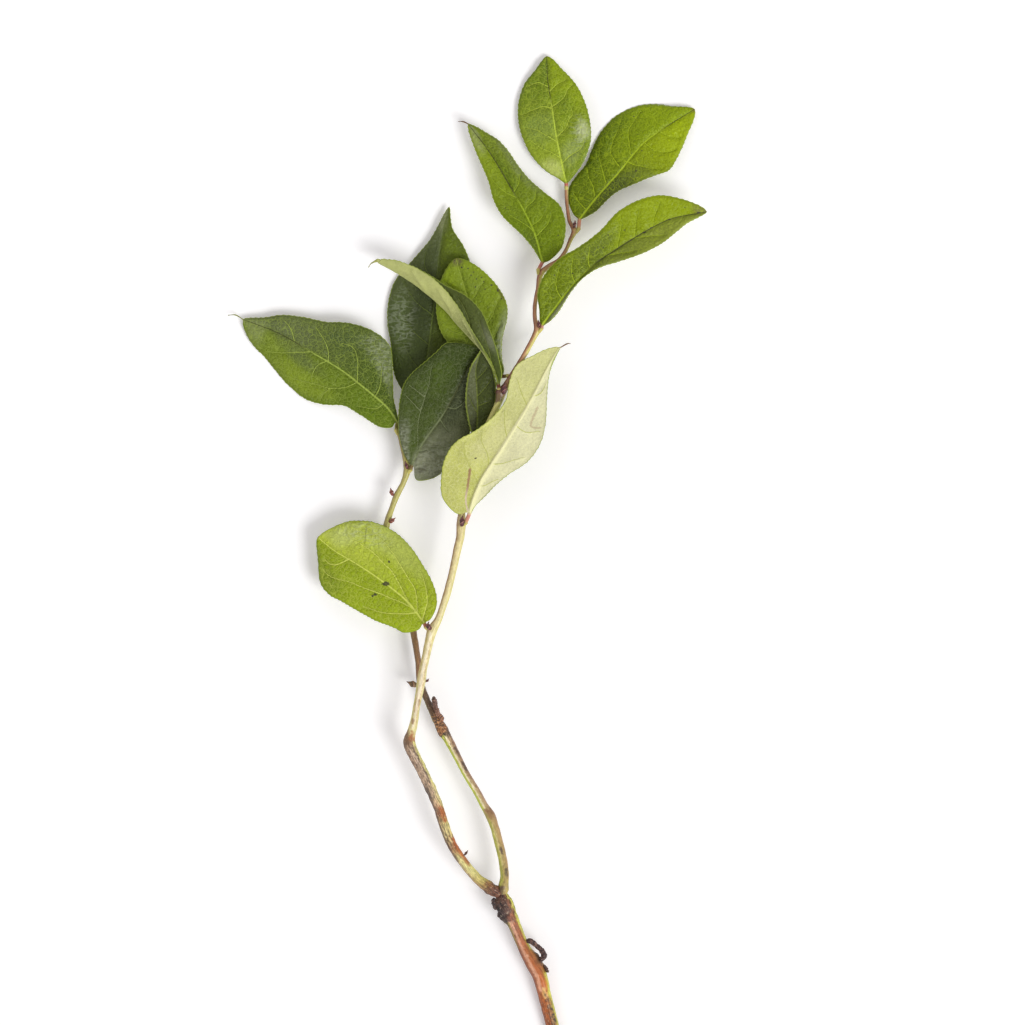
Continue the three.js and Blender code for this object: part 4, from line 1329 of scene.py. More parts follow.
# How far ends are rounded, as shares of their radius
CUT_ROUNDING = 0.05
ROOT_ROUNDING = 0.5
TIP_ROUNDING = 0.6
CAP_TURNS = np.radians([30, 60, 90])  # the rows that close the end of a tube
TWIGS = {
    "main_stem": {
        "left": [(0, (146, 82, 46)), (30, (160, 92, 54)), (54, (126, 76, 50)),
                 (62, (86, 62, 50)), (70, (74, 54, 44))],
        "top": [(0, (176, 100, 50)), (20, (176, 96, 40)), (40, (184, 104, 56)),
                (52, (166, 94, 54)), (60, (146, 86, 58)), (66, (118, 76, 54))],
        "right": [(0, (146, 86, 42)), (30, (152, 100, 48)), (44, (158, 124, 60)),
                  (62, (150, 110, 60)), (70, (120, 84, 54))],
        "rough": [(0, 0.1), (5, 0.5), (22, 0.4), (27, 0.04), (46, 0.04), (58, 0.5), (66, 1.0)],
        "lumps": [(62, 174, 4.5, 48, 2.1), (38.5, 2, 3.2, 38, 1.3), (34, -8, 3.0, 34, 1.2),
                  (67, 95, 3.5, 80, 0.6), (68, 175, 3.5, 60, 0.9)],
        "patches_and_highlights": [
            (-2, 31, 26, 32, (196, 196, 76), 0.95),
            (43, 72, 20, 28, (192, 190, 80), 0.95),
            (46, 60, 158, 22, (176, 176, 80), 0.7),
            (50, 58, 168, 18, (172, 172, 80), 0.7),
            (24, 31, 84, 40, (196, 104, 36), 0.75),
            (20, 25, 84, 20, (228, 184, 112), 0.8),
            (1, 20, 66, 30, (170, 122, 78), 0.6),
            (2, 19, 88, 6, (58, 44, 42), 0.8),
            (5, 20, 66, 6, (54, 44, 42), 0.8),
            (0, 16, 48, 5, (62, 50, 44), 0.8),
            (3, 14, 108, 5, (74, 50, 42), 0.6),
            (4, 18, 77, 4, (214, 168, 108), 0.6),
            (0, 60, 178, 22, (120, 68, 42), 0.5),
            (34, 41, -2, 42, (58, 44, 42), 0.85),
            (58, 68, 158, 40, (52, 42, 42), 0.9),
            (62, 72, 100, 26, (70, 52, 46), 0.7),
            # Painted highlight: a pale stripe along the top
            (24, 58, 112, 16, (240, 190, 158), 0.6),
            (26, 58, 166, 20, (112, 58, 38), 0.6),
            (28, 60, 62, 8, (128, 70, 40), 0.5),
            (6, 22, 84, 5, (92, 58, 42), 0.5),
            (28, 50, 130, 5, (122, 66, 40), 0.5),
        ],
    },
    "right_branch": {
        "left": [(0, (166, 170, 72)), (31, (178, 178, 84)), (35, (168, 160, 82)),
                 (39, (178, 186, 82)), (73, (186, 188, 92)), (77, (88, 66, 52)),
                 (98, (90, 72, 54)), (103, (112, 88, 58)), (122, (120, 96, 62)),
                 (132, (150, 150, 82)), (173, (150, 132, 98)), (228, (150, 122, 92))],
        "top": [(0, (176, 158, 92)), (30, (182, 156, 100)), (35, (174, 142, 98)),
                (40, (196, 172, 124)), (72, (186, 160, 118)), (77, (98, 72, 56)),
                (98, (106, 84, 62)), (104, (152, 112, 78)), (122, (156, 120, 80)),
                (132, (156, 136, 90)), (150, (186, 180, 98)), (228, (182, 174, 98))],
        "right": [(0, (170, 140, 86)), (30, (166, 128, 86)), (35, (122, 88, 60)),
                  (40, (162, 124, 92)), (72, (150, 116, 88)), (77, (84, 64, 50)),
                  (98, (100, 80, 60)), (104, (116, 84, 58)), (122, (118, 90, 60)),
                  (132, (142, 114, 78)), (150, (186, 184, 92)), (228, (172, 164, 92))],
        "rough": [(0, 0.25), (38, 0.08), (68, 0.12), (75, 1.0), (84, 0.6), (104, 0.2), (150, 0.04)],
        "lumps": [(0, 90, 3.0, 200, 0.5)],
        "patches_and_highlights": [
            (0, 32, 134, 22, (186, 190, 80), 0.75),
            (38, 75, 142, 38, (192, 204, 66), 0.9),
            # Painted highlight: pale stripes along the top
            (38, 74, 101, 15, (246, 234, 194), 0.85),
            (10, 31, 104, 12, (222, 210, 146), 0.6),
            (-6, 1, 150, 70, (88, 62, 48), 0.9),
            (-6, 4, 20, 30, (176, 168, 84), 0.6),
            (6, 9, 60, 26, (66, 56, 50), 0.8),
            (16, 19, 78, 20, (84, 62, 62), 0.85),
            (33, 37, 60, 50, (126, 84, 54), 0.5),
            (42, 72, 30, 26, (136, 100, 76), 0.5),
            (46, 70, 60, 6, (106, 76, 60), 0.5),
            (52, 72, 82, 5, (150, 108, 80), 0.6),
            (104, 126, 64, 8, (96, 72, 58), 0.5),
            (56, 61, 45, 26, (66, 56, 52), 0.75),
            (64, 68, 50, 26, (66, 56, 52), 0.6),
            (75, 83, 90, ALL_ROUND, (58, 48, 44), 0.6),
            (77, 79.5, 90, 60, (176, 112, 62), 0.5),
            (80, 102, 170, 18, (168, 166, 76), 0.6),
        ],
        "rings": [(76, 86, 1.3, (206, 150, 98), 0.75)],
    },
    "left_branch": {
        "left": [(0, (132, 84, 56)), (9, (146, 104, 68)), (28, (152, 126, 104)),
                 (50, (156, 130, 110)), (57, (186, 158, 132)), (77, (168, 138, 112)),
                 (82, (198, 168, 100)), (86, (214, 200, 126)), (126, (206, 188, 120)),
                 (138, (156, 112, 70)), (190, (152, 106, 66)), (256, (128, 72, 54)),
                 (344, (146, 86, 62))],
        "top": [(0, (142, 88, 58)), (8, (208, 192, 114)), (14, (228, 220, 146)),
                (20, (222, 212, 142)), (26, (160, 104, 64)), (33, (222, 206, 142)),
                (38, (216, 196, 132)), (43, (164, 104, 62)), (49, (196, 168, 130)),
                (57, (186, 160, 132)), (76, (180, 152, 124)),
                (80, (176, 136, 94)), (83, (234, 224, 162)), (96, (238, 218, 190)),
                (128, (232, 220, 164)), (190, (224, 208, 148)), (256, (196, 150, 108)),
                (344, (190, 142, 104))],
        "right": [(0, (110, 72, 48)), (7, (196, 190, 96)), (17, (214, 206, 124)),
                  (28, (180, 120, 70)), (36, (206, 198, 118)), (56, (210, 204, 132)),
                  (77, (200, 194, 116)), (80, (176, 120, 72)), (84, (206, 204, 124)),
                  (128, (212, 206, 124)), (190, (204, 198, 112)), (256, (184, 182, 92)),
                  (344, (170, 178, 92))],
        "rough": [(0, 1.0), (8, 0.25), (20, 0.35), (28, 0.6), (56, 0.7), (78, 0.6), (83, 0.04),
                  (344, 0.04)],
        "lumps": [(0, 90, 4.5, 200, 1.2), (55, 165, 2, 60, 0.4), (241, 150, 2.8, 70, 1.4)],
        "patches_and_highlights": [
            (-4, 4, 90, ALL_ROUND, (84, 58, 46), 0.6),
            (1, 5, 60, 40, (150, 98, 56), 0.6),
            (16, 31, 30, 42, (174, 92, 40), 0.85),
            (39, 46, 40, 46, (170, 88, 40), 0.85),
            (20, 50, 142, 12, (64, 52, 46), 0.75),
            (26, 46, 104, 7, (84, 62, 50), 0.7),
            (24, 36, 66, 5, (96, 64, 46), 0.6),
            (50, 57, 150, 42, (62, 52, 48), 0.75),
            (56, 78, 30, 22, (214, 208, 128), 0.8),
            (57, 78, 66, 10, (88, 64, 58), 0.85),
            (60, 76, 118, 5, (104, 80, 66), 0.8),
            (58, 70, 94, 4, (112, 88, 74), 0.7),
            (64, 78, 138, 5, (104, 82, 68), 0.7),
            (60, 72, 80, 4, (204, 182, 160), 0.6),
            (64, 76, 106, 4, (204, 182, 160), 0.6),
            (56, 78, 172, 12, (84, 64, 54), 0.6),
            (77, 81, 130, 60, (104, 76, 58), 0.7),
            (79.5, 82, 50, 50, (170, 98, 50), 0.6),
            (80, 84, 150, 24, (104, 72, 54), 0.55),
            (92, 99, 112, 14, (176, 132, 96), 0.6),
            # Painted highlight: a pale stripe along the top
            (84, 128, 92, 12, (248, 238, 208), 0.85),
            (86, 128, 58, 5, (190, 150, 100), 0.6),
            (86, 128, 126, 5, (190, 178, 96), 0.6),
            (88, 126, 150, 16, (206, 202, 96), 0.7),
            (86.5, 88.5, 110, 24, (150, 100, 62), 0.7),
            (95, 97, 60, 20, (150, 104, 66), 0.6),
            (106, 150, 150, 14, (176, 130, 84), 0.5),
            (150, 190, 168, 26, (160, 112, 74), 0.6),
            (245, 344, 160, 30, (130, 70, 52), 0.6),
            (220, 240, 80, 130, (198, 198, 112), 0.85),
            (262, 273.5, 30, 60, (212, 204, 112), 0.85),
            (290, 299.5, 30, 60, (208, 200, 108), 0.85),
            (316, 325, 30, 60, (208, 200, 108), 0.85),
            (243, 256, 90, 90, (150, 104, 76), 0.6),
            (236.5, 245, 145, 90, (84, 50, 44), 0.85),
            (275, 286, 90, 90, (146, 98, 72), 0.6),
            (326, 340, 90, 90, (150, 92, 70), 0.6),
        ],
    },
}


def twig_rows(rings, sizes, is_cut):
    """Centres, radii and distances along a twig at its fine rows."""
    centres, radii = centre_line(rings)
    lead = 0 if is_cut else sizes.overlap
    if lead:
        back = unit(centres[1] - centres[0]) * lead
        centres = np.concatenate([[centres[0] - back], centres])
        radii = np.concatenate([radii[:1] * 0.8, radii])
    distance = run_along(centres)
    places = np.linspace(0, distance[-1], int(distance[-1] / sizes.row_pitch))
    return spline(distance, centres, places), spline(distance, radii, places), places - lead


def tube(centres, radii, sides, bumps):
    """A closed tube's points: bumps[row, side] are added to its radii."""
    along = unit(np.gradient(centres, axis=0))
    right = unit(np.cross(along, (0, 0, 1)))
    above = np.cross(right, along)
    angle = np.linspace(0, 2 * np.pi, sides + 1)
    radius = radii[:, None] + bumps
    across = radius[..., None] * np.cos(angle)[None, :, None] * right[:, None]
    up = radius[..., None] * np.sin(angle)[None, :, None] * above[:, None]
    points = centres[:, None] + across + up
    points[:, -1] = points[:, 0]
    return points


def close_ends(points, centres, radii, rounding):
    """Rows that close a tube: each end shrinks to a point, rounded by a share of its radius."""
    rows = [points]
    for end, row in ((0, 0), (-1, len(points) - 1)):
        outward = unit(centres[row] - centres[row - 1 if end else row + 1])
        caps = []
        for turn in CAP_TURNS:
            shrunk = centres[row] + (points[row] - centres[row]) * math.cos(turn)
            caps.append(shrunk + outward * radii[row] * rounding[end] * math.sin(turn))
        caps = np.array(caps)
        caps[-1] = caps[-1].mean(axis=0)
        rows = [caps[::-1], *rows] if end == 0 else [*rows, caps]
    return np.concatenate(rows)


def with_caps(rows):
    """Rows with the first and the last repeated for the rows that close the ends."""
    return np.concatenate([rows[:1]] * len(CAP_TURNS) + [rows] + [rows[-1:]] * len(CAP_TURNS))


def colours_along(knots, distance):
    """A side's colour at each distance in mm."""
    places = [place for place, _ in knots]
    colours = np.array([tone(colour) for _, colour in knots])
    return np.stack([np.interp(distance, places, colours[:, part]) for part in range(3)], axis=-1)


def along_stretch(length, start, end, fade_out=0.8):
    """1 between two distances in mm and 0 outside, soft at both ends."""
    inside = smoothstep(start - 0.8, start + 0.8, length)
    return inside * smoothstep(end + fade_out, end - fade_out, length)


def turn_from(side, angle):
    """The turn in degrees from a side to each angle, from -180 to 180."""
    return (angle[None, :] - side + 180) % 360 - 180


def bark_colours(look, distance, angle, surface):
    """The bark's colour at each point: its three sides, then its patches, some of them painted
    highlights, and its rings.
    """
    ragged = rough(surface, PATCH_EDGE_SIZE, 31, 4)
    length = distance[:, None] / MM + 2.0 * ragged
    turn = np.radians(angle[None, :] + 26 * ragged)
    weights = {
        "right": np.clip(np.cos(turn), 0, 1) ** 1.5,
        "top": np.clip(np.sin(turn), 0.02, 1) ** 1.5,
        "left": np.clip(-np.cos(turn), 0, 1) ** 1.5,
    }
    total = sum(weights.values())
    colours = sum(
        (weight / total)[..., None] * colours_along(look[side], length)
        for side, weight in weights.items())
    for start, end, side, half_angle, colour, strength in look["patches_and_highlights"]:
        away = np.abs(turn_from(side, angle)) + 13 * ragged
        inside = along_stretch(length, start, end)
        inside = inside * smoothstep(half_angle * 1.35, half_angle * 0.6, away)
        colours = tinted(colours, colour, inside * strength)
    length = distance[:, None] / MM + 0.9 * ragged
    for start, end, pitch, colour, strength in look.get("rings", []):
        inside = along_stretch(length, start, end, 2.4) * strength
        inside = inside * smoothstep(0.0, 0.7, np.cos(2 * np.pi * length / pitch))
        colours = tinted(colours, colour, inside)
    return colours


def twig_bumps(look, sizes, distance, angle, roughness, surface, seed):
    """How far the bark stands out: ridges along the twig, unevenness and swellings."""
    turn = np.radians(angle)[None, :]
    unrolled = stacked(
        np.cos(turn) * GRAIN_TURN * MM,
        np.sin(turn) * GRAIN_TURN * MM,
        distance[:, None] * RIDGE_STRETCH)
    ridges = rough(unrolled, RIDGE_SIZE, seed, 3)
    uneven = rough(surface, UNEVEN_SIZE, seed + 3, 3)
    bumps = sizes.bark_height * (ridges * 0.7 * roughness + uneven * (0.25 + 0.6 * roughness))
    for place, side, half_length, half_angle, height in look["lumps"]:
        along = (distance[:, None] / MM - place) / half_length
        away = turn_from(side, angle) / half_angle
        lump = np.exp(-1.2 * (along**2 + away**2))
        bumps = bumps + height * MM * lump * (1 + 0.5 * uneven)
    bumps[:, -1] = bumps[:, 0]
    return bumps


def make_twig(node, look, sizes, seed):
    """One twig: its tube with ridges of bark, and its bark's colours."""
    is_cut = node == "main_stem"
    rings = read_skin(node, TWIG_SIDES)[0]
    centres, radii, distance = twig_rows(rings, sizes, is_cut)
    angle = np.linspace(0, 360, sizes.sides + 1)
    plain = tube(centres, radii, sizes.sides, 0)
    colours = bark_colours(look, distance, angle, plain)
    colours[:, -1] = colours[:, 0]
    places, shares = np.array(look["rough"]).T
    roughness = np.interp(distance / MM, places, shares)[:, None]
    bumps = twig_bumps(look, sizes, distance, angle, roughness, plain, seed)
    points = tube(centres, radii, sizes.sides, bumps)
    roundings = {0: CUT_ROUNDING if is_cut else ROOT_ROUNDING, -1: TIP_ROUNDING}
    points = close_ends(points, centres, radii, roundings)
    uv = stacked(angle[None, :] / 360, with_caps(distance)[:, None] / MM)
    roughness = np.broadcast_to(roughness[..., None], colours[..., :1].shape)
    paint = with_caps(np.concatenate([colours, roughness], axis=-1))
    mesh = make_skin(points, uv, {"bark": paint})
    return add_piece(f"{node}_skin", mesh, [bark_material(node)], [node])


def bark_material(node):
    """Bark over the twig's own colours: fine grain along it, specks, and a soft gloss."""
    material, wiring, shader = new_material(f"{node}_bark")
    bark = wiring.layer("bark")
    roughness = bark["Alpha"]

    def by_roughness(gain, least):
        """A share that grows with the bark's roughness."""
        return wiring.math("MULTIPLY_ADD", roughness, gain, least)

    # Grain runs along the twig and meets itself round it
    skin = wiring.skin_map()
    turn = wiring.math("MULTIPLY", skin["X"], 2 * math.pi)
    around = {"X": wiring.math("MULTIPLY", wiring.math("COSINE", turn), GRAIN_TURN),
              "Y": wiring.math("MULTIPLY", wiring.math("SINE", turn), GRAIN_TURN),
              "Z": wiring.math("MULTIPLY", skin["Y"], GRAIN_STRETCH)}
    grain_map = wiring.add("ShaderNodeCombineXYZ", around).outputs[0]
    grain = wiring.noise(grain_map, 2.4, 4.0, 0.65)
    streak = wiring.ramp(grain, 0.34, 0.66, -1.0, 1.0)
    shade = wiring.math("MULTIPLY_ADD", streak, by_roughness(0.62, 0.13), 1.0)
    colour = wiring.shaded(bark["Color"], shade)

    specks = wiring.noise(wiring.place(), BARK_SPECKS, 3.0, 0.6)
    dark = wiring.ramp(specks, 0.6, 0.68)
    colour = wiring.over(colour, BARK_SPECK, dark, by_roughness(0.7, 0.2))
    pale = wiring.ramp(specks, 0.4, 0.33)
    colour = wiring.over(colour, BARK_FLECK, pale, by_roughness(0.5, 0.06))
    height = wiring.math("MULTIPLY_ADD", specks, 0.4, grain)
    height = wiring.math("MULTIPLY", height, by_roughness(0.8, 0.2))
    normal = bump(wiring, height, strength=0.6, distance=0.0003)
    gloss = wiring.ramp(roughness, 0.0, 1.0, 0.34, 0.6)
    wiring.fill(shader, {"Base Color": colour, "Roughness": gloss, "Normal": normal})
    wiring.fill(shader, {"Specular IOR Level": 0.5})
    return material


class SALAL_OT_twigs(bpy.types.Operator):
    """Make the main stem and its two branches"""

    bl_idname = "salal.twigs"
    bl_label = "Twigs"

    def execute(self, context):
        sizes = context.scene.salal_twigs
        for seed, (node, look) in enumerate(TWIGS.items()):
            make_twig(node, look, sizes, seed)
        return {"FINISHED"}


# ---------------------------------------------------------------- buds and stubs


class BudSizes(bpy.types.PropertyGroup):
    """Sizes that all buds and stubs share."""

    sides: IntProperty(name="Sides", description="Faces round a bud", default=24)
    rows: IntProperty(name="Rows", description="Rows of faces along a bud", default=60)
    root_depth: FloatProperty(
        name="Root depth", description="Share of the way to its twig's axis that a bud goes",
        default=0.6, subtype="FACTOR")
    stub_height: FloatProperty(
        name="Stub height", description="Height of the flaws in dead bark",
        default=0.22 * MM, unit="LENGTH")
    scale_lift: FloatProperty(
        name="Scale lift", description="How far a bud scale's edge stands out",
        default=0.12 * MM, unit="LENGTH")


PURPLE = (84, 42, 46)
RUST = (132, 72, 60)
BUDS = {
    "bud_low_leaf": PURPLE,
    "bud_pale_leaf": PURPLE,
    "bud_curled_leaf": PURPLE,
    "bud_right_leaf": PURPLE,
    "bud_upper_right_leaf": PURPLE,
    "bud_dark_leaf": PURPLE,
    "bud_left_side": RUST,
    "bud_right_side": RUST,
    "bud_crossing": PURPLE,
    "scale_bud": (118, 96, 66),
}
# Stubs of dead bark: colour, height of the rings round them and distance between the rings,
# both in mm, and how rusty the rings are
STUBS = {
    "dead_twig_stub": ((112, 82, 72), 0.28, 0.8, 0.8),
    "hooked_stub": ((76, 52, 50), 0.16, 2.4, 0.1),
    "spur_stub": ((84, 58, 50), 0.2, 1.0, 0.2),
    "thorn_stub": ((104, 66, 46), 0.05, 1.0, 0.1),
    "fork_knot": ((64, 52, 52), 0.3, 1.6, 0.1),
}
BUD_SCALES = 3  # turns that the bud scales make round a bud
SCALE_RIM = (186, 128, 112)
DEAD_FLECK = (196, 160, 142)
RUSTY_RING = (186, 128, 88)
STUB_SEED = 20
BUD_ROUNDINGS = {0: 0.4, -1: 1.2}  # of the root and of the tip, as shares of their radius
STUB_ROUNDINGS = {0: 0.4, -1: 0.4}
SCALE_FLAWS = (0.05 * MM, 0.8 * MM)  # height and size
STUB_WANDER_SIZE = 1.3 * MM
STUB_PIT_SIZE = 0.5 * MM
BUD_SPOTS = 1400.0  # lumps a metre
DEAD_SPOTS = 1300.0


def spindle(node, sizes, axes):
    """A bud's or a stub's middle line, radii and distances, from its root in its twig."""
    rings, foot, tip = read_skin(node, BUD_SIDES)
    centres, radii = centre_line(rings)
    centres = np.concatenate([[root_of(foot, axes, sizes.root_depth)], centres, [tip]])
    radii = np.concatenate([radii[:1], radii, radii[-1:] * 0.35])
    distance = run_along(centres)
    places = np.linspace(0, distance[-1], sizes.rows)
    return spline(distance, centres, places), np.interp(places, distance, radii), places


def spindle_skin(line, radii, places, bumps, sizes, roundings):
    """The closed skin of a bud or a stub. Its map runs round it and along it."""
    bumps[:, -1] = bumps[:, 0]
    points = tube(line, radii, sizes.sides, bumps)
    points = close_ends(points, line, radii, roundings)
    around = np.linspace(0, 1, sizes.sides + 1)
    uv = stacked(around[None, :], with_caps(places / places[-1])[:, None])
    return make_skin(points, uv, {})


def make_bud(node, colour, sizes, axes, seed):
    """A pointed bud with overlapping scales."""
    line, radii, places = spindle(node, sizes, axes)
    share = places / places[-1]
    radii = radii * (0.75 + 0.5 * np.sin(np.pi * share)) * (1 - 0.5 * smoothstep(0.6, 1, share))
    around = np.linspace(0, 1, sizes.sides + 1)
    turn = (BUD_SCALES * share[:, None] + 2 * around[None, :]) % 1
    plain = tube(line, radii, sizes.sides, 0)
    height, size = SCALE_FLAWS
    bumps = sizes.scale_lift * turn**2 + height * rough(plain, size, seed, 3)
    mesh = spindle_skin(line, radii, places, bumps, sizes, BUD_ROUNDINGS)
    material = bud_material(f"{node}_scales", colour)
    add_piece(f"{node}_skin", mesh, [material], [node])


def make_stub(node, look, sizes, axes, seed):
    """A dead stub with rings of old scars round it."""
    colour, height, pitch, rust = look
    line, radii, places = spindle(node, sizes, axes)
    plain = tube(line, radii, sizes.sides, 0)
    wander = rough(plain, STUB_WANDER_SIZE, seed, 3)
    rings = np.cos(2 * np.pi * (places[:, None] / (pitch * MM) + 0.5 * wander))
    pits = rough(plain, STUB_PIT_SIZE, seed + 7, 2)
    flaws = sizes.stub_height * (wander + 0.6 * pits)
    bumps = height * MM * 0.5 * rings + flaws
    mesh = spindle_skin(line, radii, places, bumps, sizes, STUB_ROUNDINGS)
    material = stub_material(f"{node}_bark", colour, places[-1] / (pitch * MM), rust)
    add_piece(f"{node}_skin", mesh, [material], [node])


def bud_material(name, colour):
    """Bud scales, dark at their base and with pale pink rims."""
    material, wiring, shader = new_material(name)
    skin = wiring.skin_map()
    around = wiring.math("MULTIPLY", skin["X"], 2.0)
    turn = wiring.math("MULTIPLY_ADD", skin["Y"], float(BUD_SCALES), around)
    turn = wiring.math("FRACT", turn)
    spots = wiring.noise(wiring.place(), BUD_SPOTS, 3.0, 0.6)
    shade = wiring.ramp(wiring.math("ADD", turn, spots), 0.4, 1.3, 0.5, 1.25)
    base = wiring.over(wiring.shaded(colour, shade), SCALE_RIM, wiring.ramp(turn, 0.78, 0.94), 0.75)
    normal = bump(wiring, spots, strength=0.5, distance=0.0002)
    wiring.fill(shader, {"Base Color": base, "Roughness": 0.45, "Normal": normal})
    return material


def stub_material(name, colour, turns, rust):
    """Rough dead bark with pale flecks, and rusty rings that fade towards its tip."""
    material, wiring, shader = new_material(name)
    where = wiring.place()
    spots = wiring.noise(where, DEAD_SPOTS, 4.0, 0.65)
    dark = (*(0.4 * tone(colour)).tolist(), 1.0)
    base = wiring.mix(wiring.ramp(spots, 0.35, 0.62), dark, colour)
    flecks = wiring.ramp(wiring.noise(where, DEAD_SPOTS, 2.0), 0.54, 0.64)
    base = wiring.over(base, DEAD_FLECK, flecks, 0.25 + 0.4 * rust)
    share = wiring.skin_map()["Y"]
    ring = wiring.math("MULTIPLY_ADD", share, float(turns), spots)
    ring = wiring.ramp(wiring.math("FRACT", ring), 0.45, 0.65)
    base = wiring.over(base, RUSTY_RING, ring, wiring.ramp(share, 0.3, 0.7, rust, 0.1 * rust))
    gloss = wiring.ramp(spots, 0.3, 0.7, 0.45, 0.75)
    normal = bump(wiring, spots, strength=0.8, distance=0.0004)
    wiring.fill(shader, {"Base Color": base, "Roughness": gloss, "Normal": normal})
    return material


class SALAL_OT_buds(bpy.types.Operator):
    """Make the buds in the leaf axils and on the twigs"""

    bl_idname = "salal.buds"
    bl_label = "Buds"

    def execute(self, context):
        sizes = context.scene.salal_buds
        axes = twig_axes()
        for seed, (node, colour) in enumerate(BUDS.items()):
            make_bud(node, colour, sizes, axes, seed)
        return {"FINISHED"}


class SALAL_OT_stubs(bpy.types.Operator):
    """Make the dead stubs, thorns and knots"""

    bl_idname = "salal.stubs"
    bl_label = "Stubs"

    def execute(self, context):
        sizes = context.scene.salal_buds
        axes = twig_axes()
        for seed, (node, look) in enumerate(STUBS.items()):
            make_stub(node, look, sizes, axes, STUB_SEED + seed)
        return {"FINISHED"}


# ---------------------------------------------------------------- stage


SENSOR_WIDTH = 36.0  # in mm, as the focal length is
CAMERA_REACH = 50.0  # in metres
TABLE_HALF_WIDTH = 6.0  # in metres
TABLE_GLOW = 0.15  # lifts the table to pure white for the camera alone
TOWARD_KEY = (0.72, -0.64, 1.0)  # from the sprig to the key light


class StageSizes(bpy.types.PropertyGroup):
    """The camera, the lights and the table."""

    view_width: FloatProperty(
        name="View width", description="Width of table that the camera sees",
        default=461.25 * MM, unit="LENGTH")
    lens: FloatProperty(name="Lens", description="Focal length", default=400.0)
    aim: FloatVectorProperty(
        name="Aim", description="Where the camera aims, from the box's centre",
        default=(20.42 * MM, 16.41 * MM, 0.0), subtype="TRANSLATION")
    key_power: FloatProperty(
        name="Key light", description="Strength of the key light", default=1.75)
    key_size: FloatProperty(
        name="Key size", description="Angle that the key light fills", default=math.radians(26),
        subtype="ANGLE")
    fill_power: FloatProperty(name="Fill light", description="Strength of the sky", default=0.69)
    overhead_power: FloatProperty(
        name="Overhead light", description="Strength of the sky round the camera", default=0.2)
    fill_colour: FloatVectorProperty(
        name="Fill colour", description="Colour of the sky", default=(1.0, 0.965, 0.98),
        subtype="COLOR")
    floor_colour: FloatVectorProperty(
        name="Floor colour", description="Colour of the table", default=(0.95, 0.95, 0.95),
        subtype="COLOR")


def floor_material(sizes):
    """A matt white table that is pure white where no shadow falls."""
    material, wiring, shader = new_material("white_table")
    seen = wiring.add("ShaderNodeLightPath").outputs
    wiring.fill(shader, {
        "Base Color": (*sizes.floor_colour, 1.0),
        "Roughness": 0.95,
        "Specular IOR Level": 0.1,
        "Emission Color": (1.0, 1.0, 1.0, 1.0),
        "Emission Strength": wiring.math("MULTIPLY", seen["Is Camera Ray"], TABLE_GLOW),
    })
    return material


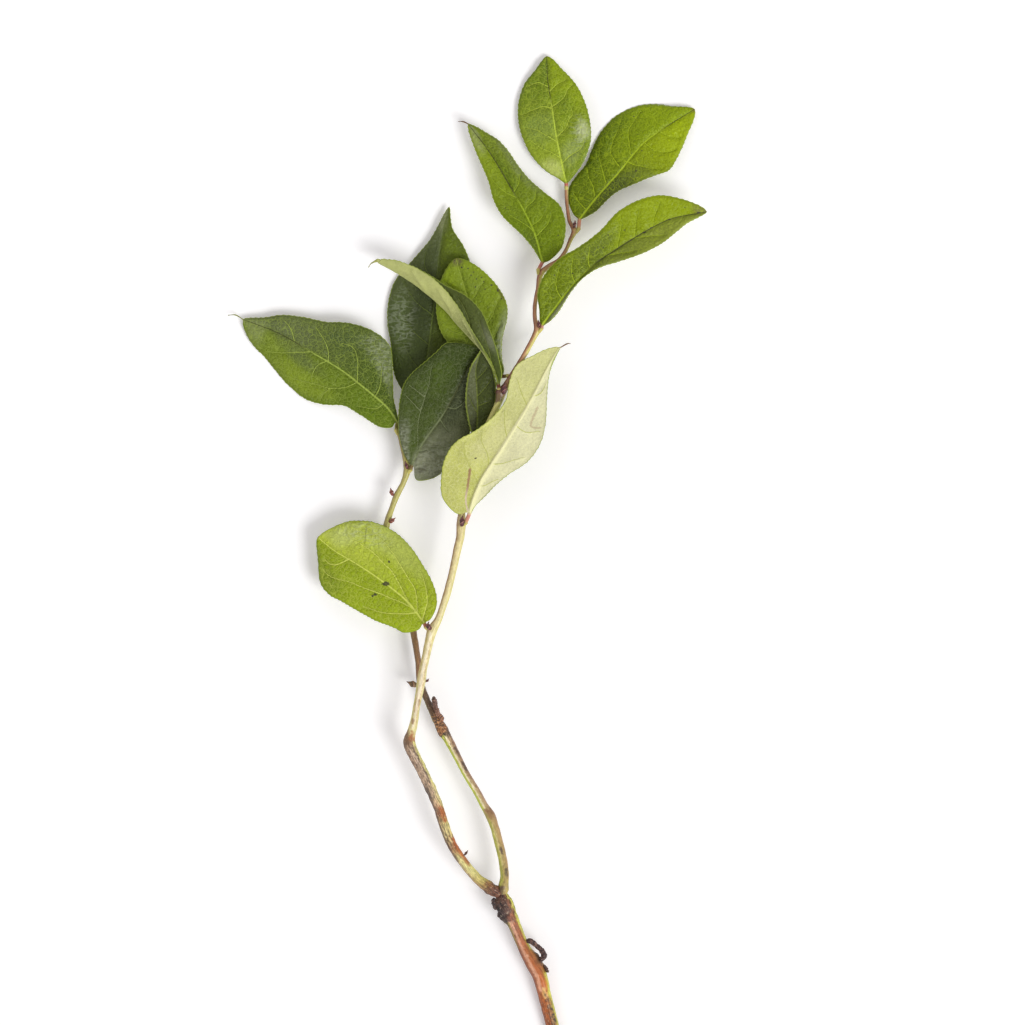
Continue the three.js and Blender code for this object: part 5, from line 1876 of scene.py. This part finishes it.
class SALAL_OT_stage(bpy.types.Operator):
    """Make the table, the lights and the camera that looks down on the sprig"""

    bl_idname = "salal.stage"
    bl_label = "Table, lights and camera"

    def execute(self, context):
        scene = context.scene
        sizes = scene.salal_stage
        mesh = bmesh.new()
        bmesh.ops.create_grid(mesh, x_segments=1, y_segments=1, size=TABLE_HALF_WIDTH)
        data = bpy.data.meshes.new("table")
        mesh.to_mesh(data)
        mesh.free()
        data.materials.append(floor_material(sizes))
        table = bpy.data.objects.new("table", data)
        scene.collection.objects.link(table)

        camera = bpy.data.cameras.new("camera")
        camera.sensor_width = SENSOR_WIDTH
        camera.lens = sizes.lens
        camera.clip_end = CAMERA_REACH
        height = sizes.view_width * sizes.lens / camera.sensor_width
        holder = bpy.data.objects.new("camera", camera)
        holder.location = (sizes.aim[0], sizes.aim[1], height)
        scene.collection.objects.link(holder)
        scene.camera = holder

        key = bpy.data.lights.new("key", "SUN")
        key.energy = sizes.key_power
        key.angle = sizes.key_size
        lamp = bpy.data.objects.new("key", key)
        lamp.rotation_euler = Vector(TOWARD_KEY).to_track_quat("Z", "Y").to_euler()
        scene.collection.objects.link(lamp)

        world = bpy.data.worlds.new("sky")
        scene.world = world
        world.use_nodes = True
        wiring = Wiring(world.node_tree)
        way = wiring.add("ShaderNodeTexCoord").outputs["Generated"]
        height = wiring.add("ShaderNodeSeparateXYZ", {0: way}).outputs["Z"]
        overhead = wiring.ramp(height, 0.82, 0.97)
        power = wiring.ramp(overhead, 0.0, 1.0, sizes.fill_power, sizes.overhead_power)
        sky = world.node_tree.nodes["Background"]
        sky.inputs["Color"].default_value = (*sizes.fill_colour, 1.0)
        wiring.feed(sky.inputs["Strength"], power)
        scene.view_settings.view_transform = "Standard"
        return {"FINISHED"}


# ---------------------------------------------------------------- panel and run

OPERATORS = (SALAL_OT_stage, SALAL_OT_twigs, SALAL_OT_leaves, SALAL_OT_buds, SALAL_OT_stubs)
SETTINGS = {
    "salal_leaves": LeafSizes,
    "salal_twigs": TwigSizes,
    "salal_buds": BudSizes,
    "salal_stage": StageSizes,
}


class SALAL_PT_panel(bpy.types.Panel):
    """Lists the sprig's pieces and their sizes"""

    bl_label = "Salal Sprig"
    bl_idname = "SALAL_PT_panel"
    bl_space_type = "VIEW_3D"
    bl_region_type = "UI"
    bl_category = "Salal"

    def draw(self, context):
        for operator in OPERATORS:
            self.layout.operator(operator.bl_idname)
        for name, group in SETTINGS.items():
            box = self.layout.box()
            for each in group.__annotations__:
                box.prop(getattr(context.scene, name), each)


def register():
    for each in (*SETTINGS.values(), *OPERATORS, SALAL_PT_panel):
        bpy.utils.register_class(each)
    for name, group in SETTINGS.items():
        setattr(bpy.types.Scene, name, PointerProperty(type=group))


def unregister():
    for name in SETTINGS:
        delattr(bpy.types.Scene, name)
    for each in reversed((*SETTINGS.values(), *OPERATORS, SALAL_PT_panel)):
        bpy.utils.unregister_class(each)


def main():
    """Registers the add-on and makes every piece, with the table, the lights and the camera."""
    register()
    bpy.ops.salal.stage()
    bpy.ops.salal.twigs()
    bpy.ops.salal.leaves()
    bpy.ops.salal.buds()
    bpy.ops.salal.stubs()


if __name__ == "__main__":
    main()
